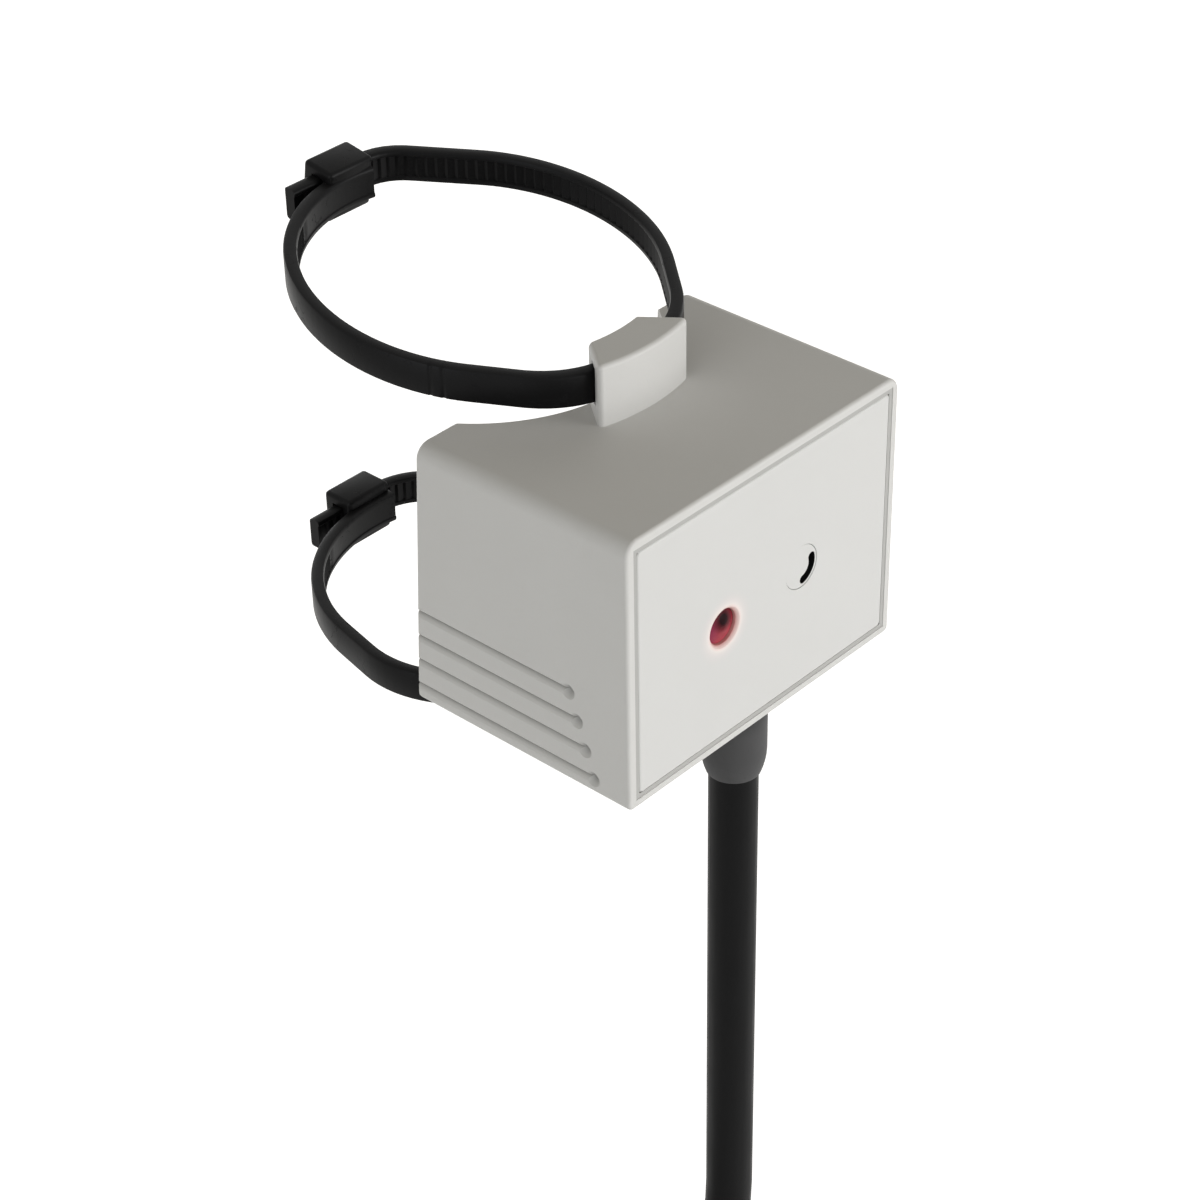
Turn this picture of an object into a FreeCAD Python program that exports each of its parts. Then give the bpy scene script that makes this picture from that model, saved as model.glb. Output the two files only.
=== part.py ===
"""Capacitive level sensor that two ties strap to the outside of a pipe.

Frame: origin on the pipe's axis at half the housing's height, +Z up along the pipe,
the flat front with the lamp and the adjuster facing -Y, +X to the right of that front.
Sizes are millimetres and degrees.
"""

import FreeCAD, Part
import math
import os
import re
import Sketcher

V = FreeCAD.Vector

# Driving sizes

SIZES = (
    # pipe, straps and the cradle that they hold against it
    ("pipe_radius", 13.0),
    ("web_thickness", 1.0),
    ("strap_width", 2.5),
    ("strap_thickness", 1.0),
    ("strap_clearance", 0.1),
    ("bridge_wall", 1.0),
    ("bridge_width", 9.5),
    ("bridge_seat_width", 5.2),
    ("bridge_roof", 0.7),
    ("bridge_edge", 0.35),
    ("upper_strap_lift", 2.6),
    ("upper_strap_tilt", 9.0),
    ("upper_slot_height", 3.0),
    ("lower_strap_lift", 0.4),
    ("lower_slot_height", 2.8),
    ("lower_bridge_floor", 0.9),
    ("strap_bend", 8.0),
    ("strap_bend_angle", 1.5),
    ("strap_head_start", 0.6),
    ("strap_head_length", 4.4),
    ("strap_head_depth", 2.9),
    ("strap_head_height", 4.2),
    ("strap_head_edge", 0.4),
    ("strap_mouth_width", 1.5),
    ("strap_mouth_height", 1.7),
    ("strap_mouth_depth", 0.7),
    ("strap_tail_start", 1.5),
    ("strap_tail_length", 2.6),
    ("strap_tail_thickness", 0.9),
    # housing
    ("front_reach", 26.7),
    ("housing_width", 29.0),
    ("housing_height", 22.0),
    ("housing_depth", 19.4),
    ("back_lean", 1.3),
    ("wall", 1.5),
    ("cradle_wall", 3.4),
    ("long_edge_radius", 1.2),
    ("floor_edge_radius", 0.5),
    ("back_edge_radius", 0.4),
    ("front_edge_radius", 0.3),
    # side grooves
    ("groove_first_drop", 3.25),
    ("groove_pitch", 2.16),
    ("groove_shoulder", 0.61),
    ("groove_lip", 0.03),
    ("groove_depth", 0.5),
    ("groove_first_length", 13.85),
    ("groove_step", 0.72),
    ("groove_end_radius", 0.62),
    ("groove_end_tip", 0.2),
    # cover
    ("rim", 0.7),
    ("cover_gap", 0.05),
    ("cover_thickness", 1.4),
    ("cover_corner", 0.4),
    ("cover_edge", 0.2),
    ("cover_step", 0.3),
    ("cover_step_depth", 0.32),
    ("gasket_thickness", 0.3),
    ("gasket_side_gap", 0.1),
    # lamp
    ("lamp_left", 4.5),
    ("lamp_drop", 0.7),
    ("lamp_hole_radius", 1.4),
    ("lamp_hole_bevel", 0.2),
    ("lamp_clearance", 0.04),
    ("lamp_recess", 0.12),
    ("lamp_dome_rise", 0.3),
    ("lamp_flange_radius", 2.0),
    ("lamp_flange_thickness", 0.6),
    ("lamp_rod_radius", 1.15),
    ("chip_gap", 0.1),
    ("lamp_chip_length", 2.0),
    ("lamp_chip_width", 1.25),
    ("lamp_chip_window", 1.2),
    # adjuster
    ("adjuster_right", 3.85),
    ("adjuster_rise", 0.1),
    ("adjuster_hole_radius", 1.75),
    ("adjuster_clearance", 0.04),
    ("adjuster_recess", 0.03),
    ("adjuster_head_length", 1.7),
    ("adjuster_slot_radius", 1.2),
    ("adjuster_slot_width", 0.7),
    ("adjuster_slot_depth", 0.8),
    ("adjuster_slot_below", 78.0),
    ("adjuster_slot_above", 16.0),
    ("adjuster_stem_radius", 0.9),
    ("adjuster_stem_end_gap", 0.1),
    ("adjuster_boss_wall", 0.9),
    ("adjuster_boss_length", 1.2),
    ("seal_clearance", 0.04),
    ("trimmer_size", 4.4),
    ("trimmer_height", 2.4),
    ("trimmer_bore_depth", 0.9),
    # circuit board and the parts soldered to it
    ("board_front_gap", 4.3),
    ("board_thickness", 1.0),
    ("board_side_gap", 0.2),
    ("board_top_gap", 0.4),
    ("board_bottom", 6.3),
    ("rest_width", 1.1),
    ("rest_depth", 1.4),
    ("lamp_chip_height", 0.8),
    ("package_stand_off", 0.1),
    ("package_edge", 0.15),
    ("lead_thickness", 0.2),
    ("lead_width", 0.4),
    ("lead_foot", 0.6),
    ("end_cap_step", 0.02),
    ("capacitor_length", 1.6),
    ("capacitor_thickness", 0.9),
    ("capacitor_height", 0.8),
    ("resistor_length", 1.6),
    ("resistor_thickness", 0.5),
    ("resistor_height", 0.8),
    # electrodes behind the cradle
    ("sense_wall", 1.3),
    ("sense_pocket_height", 14.4),
    ("sense_pocket_side_gap", 0.2),
    ("foil_thickness", 0.15),
    ("foil_height", 13.0),
    ("foil_width", 18.0),
    ("carrier_thickness", 0.9),
    ("carrier_margin", 0.5),
    ("layer_gap", 0.03),
    ("pin_radius", 0.3),
    ("pin_level", 4.6),
    ("pin_clearance", 0.5),
    # cable and its strain relief
    ("cable_right", 2.4),
    ("cable_from_front", 4.8),
    ("cable_diameter", 3.8),
    ("cable_fit", 0.02),
    ("cable_inner_rise", 3.0),
    ("relief_radius", 2.5),
    ("relief_hole_gap", 0.05),
    ("relief_flange_radius", 3.0),
    ("relief_flange_thickness", 1.0),
    ("relief_collar_length", 5.8),
    ("relief_length", 8.2),
    ("relief_lip", 0.2),
    ("relief_bow", 0.12),
    ("core_diameter", 1.1),
    ("wire_step", 1.13),
    ("wire_spread", 1.65),
    ("wire_knee", 1.2),
    ("wire_bend", 2.6),
    ("wire_tip", 3.9),
    # the wound length of cable: two layers of turns
    ("coil_radius", 21.0),
    ("coil_layer_step", 3.36),
    ("coil_pitch", 3.86),
    ("coil_inner_turns", 4),
    ("coil_outer_turns", 3),
    ("coil_edge", 1.0),
    ("coil_tie_width", 3.0),
    ("coil_tie_thickness", 0.8),
    ("coil_tie_gap", 0.15),
    ("tail_length", 22.0),
    ("core_end_offset", 0.7),
    ("core_end_length", 16.0),
    ("core_end_spread", 1.6),
)

# Sizes worked out from the ones above, as cell formulas

DERIVED = (
    ("half_width", "=housing_width / 2"),
    ("half_height", "=housing_height / 2"),
    ("back_reach", "=front_reach - housing_depth"),
    ("low_back_reach", "=back_reach - back_lean"),
    ("slot_inner", "=pipe_radius + web_thickness"),
    ("slot_outer", "=slot_inner + strap_thickness + 2 * strap_clearance"),
    ("bridge_outer", "=slot_outer + bridge_wall"),
    ("bridge_splay", "=( bridge_width - bridge_seat_width ) / ( bridge_outer - pipe_radius )"),
    ("bridge_root_width", "=bridge_seat_width - bridge_splay * web_thickness"),
    ("upper_strap_mid", "=half_height + upper_strap_lift"),
    ("upper_slot_top", "=upper_strap_mid + upper_slot_height / 2"),
    ("bridge_top", "=upper_slot_top + bridge_roof"),
    ("lower_strap_mid", "=lower_strap_lift - half_height"),
    ("lower_slot_base", "=lower_strap_mid - lower_slot_height / 2"),
    ("bridge_base", "=lower_slot_base - lower_bridge_floor"),
    ("groove_half_height", "=sqrt(2 * groove_shoulder * groove_depth - groove_depth ^ 2)"),
    ("rebate_depth", "=cover_thickness + gasket_thickness"),
    ("cover_back", "=front_reach - cover_thickness"),
    ("rebate_floor", "=front_reach - rebate_depth"),
    ("cavity_half_width", "=half_width - wall"),
    ("cavity_half_height", "=half_height - wall"),
    ("cavity_arc", "=pipe_radius + cradle_wall"),
    ("sense_arc", "=pipe_radius + sense_wall"),
    ("board_front", "=cover_back - board_front_gap"),
    ("board_back", "=board_front - board_thickness"),
    ("board_half_width", "=cavity_half_width - board_side_gap"),
    ("board_height", "=cavity_half_height - board_top_gap + board_bottom"),
    ("cable_reach", "=front_reach - cable_from_front"),
    ("cable_radius", "=cable_diameter / 2"),
    ("cable_top", "=cable_inner_rise - half_height"),
    ("coil_inner_layer", "=coil_radius - coil_layer_step / 2"),
    ("coil_outer_layer", "=coil_radius + coil_layer_step / 2"),
    ("coil_half_width", "=(coil_inner_turns - 1) * coil_pitch / 2 + cable_radius"),
    ("coil_rim_half_width", "=(coil_outer_turns - 1) * coil_pitch / 2 + cable_radius"),
    ("coil_bore", "=coil_inner_layer - cable_radius"),
    ("coil_rim", "=coil_outer_layer + cable_radius"),
    ("foil_inner", "=sense_arc + layer_gap"),
    ("carrier_inner", "=foil_inner + foil_thickness + layer_gap"),
    ("guard_inner", "=carrier_inner + carrier_thickness + layer_gap"),
    ("guard_outer", "=guard_inner + foil_thickness"),
)

NAMES = {name for name, _ in SIZES + DERIVED}

# Route of the cable below the housing: how far each corner lies from the lead's own line
# (to the left) and below the pipe's middle

LEAD_CORNERS = ((0.0, -68.0), (-5.75, -77.96), (-15.71, -83.71))
COIL_JOIN_ANGLE = 120.0

# Route of the tail: where each corner lies round the coil, and how far in front of the turns, in pitches

TAIL_CORNERS = ((80.0, 0.1), (120.0, 0.5), (160.0, 1.0))

# Places on the board: shares of its half width from the middle and of its height from the bottom

BOARD_CHIPS = (
    # name, across, up, length along X, height along Z, thickness, pin pitch
    ("controller_chip", -0.484, 0.591, 4.9, 3.9, 1.5, 1.27),
    ("voltage_regulator", 0.5, 0.708, 4.5, 2.5, 1.5, 3.0),
    ("output_transistor", 0.484, 0.24, 2.9, 1.4, 1.1, 1.9),
)
PINS_A_SIDE = {"controller_chip": 4, "voltage_regulator": 2, "output_transistor": 2}
CAPACITORS = ((-0.844, 0.773), (-0.844, 0.617), (-0.125, 0.838), (0.828, 0.708), (0.828, 0.539))
RESISTORS = ((-0.844, 0.37), (-0.641, 0.24), (-0.406, 0.24), (0.203, 0.24), (0.828, 0.318), (0.172, 0.864))


def make_sheet(doc):
    """Put every size in a sheet cell that has the size's name."""
    sheet = doc.addObject("Spreadsheet::Sheet", "Sizes")
    for row, (name, value) in enumerate(SIZES + DERIVED, start=1):
        cell = "B%d" % row
        sheet.set("A%d" % row, name)
        sheet.set(cell, str(value))
        sheet.setAlias(cell, name)
    doc.recompute()
    return sheet


class Model:
    """The document, its sheet and the sub-parts that become files."""

    def __init__(self):
        self.doc = FreeCAD.newDocument("LevelSensor")
        self.sheet = make_sheet(self.doc)
        self.parts = []

    def size(self, name):
        return float(self.sheet.get(name))

    def keep(self, obj, label):
        obj.Label = label
        self.parts.append(obj)
        return obj

    def body(self, label):
        body = self.doc.addObject("PartDesign::Body", "body_" + label)
        return self.keep(body, label)

    def feature(self, shape, label, placement=None):
        obj = self.doc.addObject("Part::Feature", "shape_" + label)
        obj.Shape = shape
        obj.Placement = placement or FreeCAD.Placement()
        return self.keep(obj, label)


def bind(obj, **expressions):
    """Tie properties to cells: a double underscore in a name stands for a dot."""
    for name, expression in expressions.items():
        obj.setExpression(name.replace("__", "."), cells(expression))


def cells(expression):
    """Write the sheet's name before each size in an expression."""
    return re.sub(r"[a-z]\w+", lambda m: "Sizes." + m[0] if m[0] in NAMES else m[0], str(expression))


# Sketches: each is centred on its own origin and moved by its attachment offset

def new_sketch(body, name, role, x="0", y="0", z="0"):
    sketch = body.newObject("Sketcher::SketchObject", name)
    plane = [o for o in body.Origin.OriginFeatures if o.Role == role][0]
    sketch.AttachmentSupport = [(plane, "")]
    sketch.MapMode = "FlatFace"
    bind(sketch, AttachmentOffset__Base__x=x, AttachmentOffset__Base__y=y, AttachmentOffset__Base__z=z)
    return sketch


def constrain(sketch, kind, *values, name=None, size=None):
    index = sketch.addConstraint(Sketcher.Constraint(kind, *values))
    if name:
        sketch.renameConstraint(index, name)
        sketch.setExpression("Constraints." + name, cells(size))


def worth(sketch, expression):
    """The present value of an expression, as the first guess of a sketch's size."""
    return float(sketch.evalExpression(cells(expression)))


def add_rectangle(sketch, width, height):
    """Rectangle centred on the sketch's origin."""
    half_x, half_y = worth(sketch, width) / 2, worth(sketch, height) / 2
    corners = [V(-half_x, -half_y), V(half_x, -half_y), V(half_x, half_y), V(-half_x, half_y)]
    for k in range(4):
        sketch.addGeometry(Part.LineSegment(corners[k], corners[(k + 1) % 4]), False)
    for k in range(4):
        constrain(sketch, "Coincident", k, 2, (k + 1) % 4, 1)
    for k in (0, 2):
        constrain(sketch, "Horizontal", k)
        constrain(sketch, "Vertical", k + 1)
    constrain(sketch, "Symmetric", 0, 1, 2, 1, -1, 1)
    constrain(sketch, "DistanceX", 0, 1, 0, 2, 2 * half_x, name="width", size=width)
    constrain(sketch, "DistanceY", 1, 1, 1, 2, 2 * half_y, name="height", size=height)
    return sketch


def add_circle(sketch, radius, name="radius"):
    """Circle centred on the sketch's origin."""
    start = worth(sketch, radius)
    index = sketch.addGeometry(Part.Circle(V(0, 0, 0), V(0, 0, 1), start), False)
    constrain(sketch, "Coincident", index, 3, -1, 1)
    constrain(sketch, "Radius", index, start, name=name, size=radius)
    return sketch


def arc(centre, radius, start, end):
    return Part.ArcOfCircle(Part.Circle(centre, V(0, 0, 1), radius), start, end)


def add_sector(sketch, inner, outer, width, root=None):
    """Ring sector about the sketch's origin on its -Y side, with its width across the outer arc.

    Its ends are radial, or lean in to the width called root across the inner arc.
    """
    radii = [worth(sketch, outer), worth(sketch, inner)]
    chord = worth(sketch, width)
    chords = [chord, worth(sketch, root) if root else chord * radii[1] / radii[0]]
    halves = [math.asin(across / 2 / radius) for radius, across in zip(radii, chords)]
    for radius, half in zip(radii, halves):
        sketch.addGeometry(arc(V(0, 0, 0), radius, -math.pi / 2 - half, -math.pi / 2 + half), False)
    for sign in (-1, 1):
        far, near_end = [V(sign * math.sin(half), -math.cos(half), 0) * radius
                         for radius, half in zip(radii, halves)]
        sketch.addGeometry(Part.LineSegment(near_end, far), False)
    for side in (0, 1):
        constrain(sketch, "Coincident", side, 3, -1, 1)
        constrain(sketch, "Symmetric", side, 1, side, 2, -2)
    for line, end_point in ((2, 1), (3, 2)):
        constrain(sketch, "Coincident", line, 1, 1, end_point)
        constrain(sketch, "Coincident", line, 2, 0, end_point)
    if root:
        constrain(sketch, "DistanceX", 1, 1, 1, 2, chords[1], name="root", size=root)
    else:
        constrain(sketch, "PointOnObject", -1, 1, 2)
    constrain(sketch, "Radius", 0, radii[0], name="outer", size=outer)
    constrain(sketch, "Radius", 1, radii[1], name="inner", size=inner)
    constrain(sketch, "DistanceX", 0, 1, 0, 2, chord, name="chord", size=width)
    return sketch


def add_side_outline(sketch):
    """Side of the housing: the front upright, the back leaning so that it is deepest at the floor."""
    front, half = worth(sketch, "front_reach"), worth(sketch, "half_height")
    corners = [V(-front, -half), V(-worth(sketch, "low_back_reach"), -half),
               V(-worth(sketch, "back_reach"), half), V(-front, half)]
    for k in range(4):
        sketch.addGeometry(Part.LineSegment(corners[k], corners[(k + 1) % 4]), False)
    for k in range(4):
        constrain(sketch, "Coincident", k, 2, (k + 1) % 4, 1)
    constrain(sketch, "Horizontal", 0)
    constrain(sketch, "Horizontal", 2)
    constrain(sketch, "Symmetric", 3, 1, 3, 2, -1)
    for k, name in ((0, "front_reach"), (1, "low_back_reach"), (2, "back_reach")):
        constrain(sketch, "DistanceX", k, 1, -1, 1, worth(sketch, name), name=name, size=name)
    constrain(sketch, "DistanceY", 0, 1, 3, 1, 2 * half, name="height", size="housing_height")
    return sketch


def add_groove_outline(sketch):
    """Section of a side groove: two rounded shoulders that meet in a narrow valley, open to the left."""
    shoulder, depth = worth(sketch, "groove_shoulder"), worth(sketch, "groove_depth")
    half = worth(sketch, "groove_half_height")
    turn = math.acos((shoulder - depth) / shoulder)
    sketch.addGeometry(arc(V(shoulder, half, 0), shoulder, math.pi, math.pi + turn), False)
    sketch.addGeometry(arc(V(shoulder, -half, 0), shoulder, math.pi - turn, math.pi), False)
    corners = [V(0, -half, 0), V(-half, -half, 0), V(-half, half, 0), V(0, half, 0)]
    for start, end in zip(corners, corners[1:]):
        sketch.addGeometry(Part.LineSegment(start, end), False)
    constrain(sketch, "Coincident", 0, 2, 1, 1)
    constrain(sketch, "Coincident", 1, 2, 2, 1)
    constrain(sketch, "Coincident", 2, 2, 3, 1)
    constrain(sketch, "Coincident", 3, 2, 4, 1)
    constrain(sketch, "Coincident", 4, 2, 0, 1)
    for line in (2, 4):
        constrain(sketch, "Horizontal", line)
    constrain(sketch, "Vertical", 3)
    constrain(sketch, "PointOnObject", 0, 2, -1)
    constrain(sketch, "PointOnObject", 0, 1, -2)
    constrain(sketch, "Symmetric", 0, 1, 1, 2, -1)
    constrain(sketch, "Radius", 0, shoulder, name="upper", size="groove_shoulder")
    constrain(sketch, "Radius", 1, shoulder, name="lower", size="groove_shoulder")
    constrain(sketch, "DistanceX", -1, 1, 0, 2, depth, name="depth", size="groove_depth")
    constrain(sketch, "DistanceY", 1, 2, 0, 1, 2 * half, name="height", size="2 * groove_half_height")
    constrain(sketch, "DistanceX", 3, 1, -1, 1, half, name="margin", size="groove_half_height")
    return sketch


def add_cavity_outline(sketch):
    """Plan of the cavity: open past the front, closed by an arc round the pipe."""
    reach, radius = worth(sketch, "front_reach + wall"), worth(sketch, "cavity_arc")
    half = worth(sketch, "cavity_half_width")
    side = -math.sqrt(radius ** 2 - half ** 2)
    points = [V(-half, -reach, 0), V(-half, side, 0), V(half, side, 0), V(half, -reach, 0)]
    start, end = math.atan2(side, -half), math.atan2(side, half)
    sketch.addGeometry(Part.LineSegment(points[0], points[1]), False)
    sketch.addGeometry(arc(V(0, 0, 0), radius, start, end), False)
    sketch.addGeometry(Part.LineSegment(points[2], points[3]), False)
    sketch.addGeometry(Part.LineSegment(points[3], points[0]), False)
    constrain(sketch, "Coincident", 0, 2, 1, 1)
    constrain(sketch, "Coincident", 1, 2, 2, 1)
    constrain(sketch, "Coincident", 2, 2, 3, 1)
    constrain(sketch, "Coincident", 3, 2, 0, 1)
    constrain(sketch, "Coincident", 1, 3, -1, 1)
    constrain(sketch, "Vertical", 0)
    constrain(sketch, "Vertical", 2)
    constrain(sketch, "Symmetric", 0, 1, 2, 2, -2)
    constrain(sketch, "Radius", 1, radius, name="arc", size="cavity_arc")
    constrain(sketch, "DistanceX", 0, 1, 2, 2, 2 * half, name="width", size="2 * cavity_half_width")
    constrain(sketch, "DistanceY", 0, 1, -1, 1, reach, name="reach", size="front_reach + wall")
    return sketch


# Solid features on a body

def pad(body, name, sketch, length, symmetric=False, backward=False):
    feature = body.newObject("PartDesign::Pad", name)
    return finish_extrusion(feature, sketch, length, symmetric, backward)


def pocket(body, name, sketch, length, symmetric=False, backward=False):
    feature = body.newObject("PartDesign::Pocket", name)
    return finish_extrusion(feature, sketch, length, symmetric, backward)


def finish_extrusion(feature, sketch, length, symmetric, backward):
    feature.Profile = sketch
    feature.Type = "Length"
    feature.SideType = "Symmetric" if symmetric else "One side"
    feature.Reversed = backward
    bind(feature, Length=length)
    sketch.Visibility = False
    feature.Document.recompute()
    return feature


def dress(body, kind, name, base, wanted, **sizes):
    """Fillet or chamfer the edges of a feature that a test picks."""
    feature = body.newObject("PartDesign::" + kind, name)
    edges = ["Edge%d" % k for k, edge in enumerate(base.Shape.Edges, start=1) if wanted(edge)]
    if not edges:
        raise ValueError("no edge found for " + name)
    feature.Base = (base, edges)
    bind(feature, **sizes)
    feature.Document.recompute()
    return feature


def mirror_x(body, name, originals):
    """Copy features to the other side of the plane x = 0."""
    feature = body.newObject("PartDesign::Mirrored", name)
    feature.Originals = originals
    plane = [o for o in body.Origin.OriginFeatures if o.Role == "YZ_Plane"][0]
    feature.MirrorPlane = (plane, [""])
    body.Tip = feature
    feature.Document.recompute()
    return feature


def revolve(body, name, points, arcs=None):
    """Turn a closed outline of (radius, height) points about the body's Z axis.

    arcs gives, by the index of a side's first point, a point that the side bows through.
    """
    sketch = new_sketch(body, name + "_outline", "XZ_Plane")
    spots = [V(r, z, 0) for r, z in points]
    for k, spot in enumerate(spots):
        following = spots[(k + 1) % len(spots)]
        through = (arcs or {}).get(k)
        side = Part.Arc(spot, V(*through, 0), following) if through else Part.LineSegment(spot, following)
        sketch.addGeometry(side, False)
    feature = body.newObject("PartDesign::Revolution", name)
    feature.Profile = sketch
    feature.ReferenceAxis = (sketch, ["V_Axis"])
    feature.Angle = 360.0
    sketch.Visibility = False
    feature.Document.recompute()
    return feature


# Tests that pick edges

def near(a, b):
    return abs(a - b) < 1e-4


def ends(edge):
    return [vertex.Point for vertex in edge.Vertexes]


def along(edge, axis):
    """True for a straight edge that runs along one axis."""
    if len(edge.Vertexes) < 2 or edge.Curve.TypeId != "Part::GeomLine":
        return False
    run = ends(edge)[1] - ends(edge)[0]
    return near(run.cross(axis).Length, 0)


def in_plane(edge, axis, level):
    box = edge.BoundBox
    low = {"x": box.XMin, "y": box.YMin, "z": box.ZMin}[axis]
    high = {"x": box.XMax, "y": box.YMax, "z": box.ZMax}[axis]
    return near(low, level) and near(high, level)


# Housing

def make_housing(model):
    """Moulded shell: box open at the front, pipe cradle behind, a strap bridge above and below."""
    size = model.size
    body = model.body("housing_shell")
    block = pad(body, "block", add_side_outline(new_sketch(body, "block_outline", "YZ_Plane")),
                "housing_width", symmetric=True)

    def on_back(edge):
        low, rise = size("low_back_reach"), size("half_height")
        lean = size("back_lean") / size("housing_height")
        return all(near(point.y, -low - (point.z + rise) * lean) for point in ends(edge))

    block = dress(body, "Fillet", "top_edges", block,
                  lambda e: along(e, V(0, 1, 0)) and ends(e)[0].z > 0, Radius="long_edge_radius")
    block = dress(body, "Fillet", "floor_edges", block,
                  lambda e: along(e, V(0, 1, 0)) and in_plane(e, "z", -size("half_height"))
                  and near(abs(ends(e)[0].x), size("half_width")), Radius="floor_edge_radius")
    block = dress(body, "Fillet", "back_edges", block, on_back, Radius="back_edge_radius")
    dress(body, "Fillet", "front_edges", block, lambda e: in_plane(e, "y", -size("front_reach")),
          Radius="front_edge_radius")
    add_bridges(body)
    cut_cradle(body, size)
    cut_cavity(body)
    cut_side_grooves(body)
    cut_slots(body)
    hole = add_circle(new_sketch(body, "cable_hole_outline", "XY_Plane", x="cable_right",
                                 y="-cable_reach", z="-cavity_half_height + wall / 2"),
                      "relief_radius + relief_hole_gap")
    pocket(body, "cable_hole", hole, "2 * wall")
    return body


def add_bridges(body):
    upper = add_sector(new_sketch(body, "upper_bridge_outline", "XY_Plane", z="half_height - wall / 2"),
                       "pipe_radius - web_thickness", "bridge_outer", "bridge_width", "bridge_root_width")
    pad(body, "upper_bridge", upper, "bridge_top - half_height + wall / 2")
    lower = add_sector(new_sketch(body, "lower_bridge_outline", "XY_Plane", z="bridge_base"),
                       "pipe_radius - web_thickness", "bridge_outer", "bridge_width", "bridge_root_width")
    pad(body, "lower_bridge", lower, "wall / 2 - half_height - bridge_base")


def cut_cradle(body, size):
    """Seat for the pipe, and the softened outer edges of the two bridges."""
    cradle = add_circle(new_sketch(body, "cradle_outline", "XY_Plane"), "pipe_radius")
    cut = pocket(body, "cradle", cradle, "3 * housing_height", symmetric=True)

    def outer_edge(edge):
        on_end = in_plane(edge, "z", size("bridge_top")) or in_plane(edge, "z", size("bridge_base"))
        reach = [math.hypot(p.x, p.y) for p in ends(edge)]
        upright = along(edge, V(0, 0, 1)) and all(near(r, size("bridge_outer")) for r in reach)
        return upright or (on_end and max(reach) > size("slot_outer"))

    dress(body, "Fillet", "bridge_edges", cut, outer_edge, Radius="bridge_edge")


def cut_cavity(body):
    cavity = add_cavity_outline(new_sketch(body, "cavity_outline", "XY_Plane"))
    pocket(body, "cavity", cavity, "2 * cavity_half_height", symmetric=True)
    sense = add_sector(new_sketch(body, "sense_pocket_outline", "XY_Plane"),
                       "sense_arc", "cavity_arc + wall",
                       "2 * (foil_width / 2 + carrier_margin + sense_pocket_side_gap)"
                       " * (cavity_arc + wall) / guard_inner")
    pocket(body, "sense_pocket", sense, "sense_pocket_height", symmetric=True)
    rebate = add_rectangle(new_sketch(body, "rebate_outline", "XZ_Plane", z="front_reach"),
                           "housing_width - 2 * rim", "housing_height - 2 * rim")
    pocket(body, "rebate", rebate, "rebate_depth")
    rest = add_rectangle(new_sketch(body, "board_rest_outline", "XY_Plane",
                                    x="( rest_width - wall / 2 ) / 2 - cavity_half_width",
                                    y="rest_depth / 2 - board_back"),
                         "rest_width + wall / 2", "rest_depth")
    rest_pad = pad(body, "board_rest", rest, "2 * cavity_half_height + wall", symmetric=True)
    mirror_x(body, "board_rests", [rest_pad])


def cut_side_grooves(body):
    """Four grip grooves low on each side, each longer than the one above, with a conical end."""
    cuts = []
    for k in range(4):
        level = "-groove_first_drop - %d * groove_pitch" % k
        end = "back_reach + groove_first_length + %d * groove_step" % k
        sketch = add_groove_outline(new_sketch(body, "groove_%d_outline" % k, "XZ_Plane",
                                               x="-half_width - groove_lip", y=level,
                                               z="low_back_reach - wall"))
        cuts.append(pocket(body, "groove_%d" % k, sketch, "%s - low_back_reach + wall" % end,
                           backward=True))
        cone = body.newObject("PartDesign::SubtractiveCone", "groove_end_%d" % k)
        cone.Placement = FreeCAD.Placement(V(0, 0, 0), FreeCAD.Rotation(V(0, 1, 0), 90))
        bind(cone, Radius1="groove_end_radius", Radius2="groove_end_tip", Height="groove_depth",
             Placement__Base__x="-half_width", Placement__Base__y="0 - ( %s )" % end,
             Placement__Base__z=level)
        body.Document.recompute()
        cuts.append(cone)
    mirror_x(body, "far_side_grooves", cuts)


def cut_slots(body):
    """Ring slots for the straps: through the upper bridge, and through the lower one and both ears."""
    for name, top, height in (("upper_slot", "upper_slot_top", "upper_slot_height"),
                              ("lower_slot", "lower_slot_base + lower_slot_height", "lower_slot_height")):
        sketch = new_sketch(body, name + "_outline", "XY_Plane", z=top)
        add_circle(sketch, "slot_inner", name="inner")
        add_circle(sketch, "slot_outer", name="outer")
        pocket(body, name, sketch, height)


# Front cover, its gasket, the lamp and the adjuster

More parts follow.
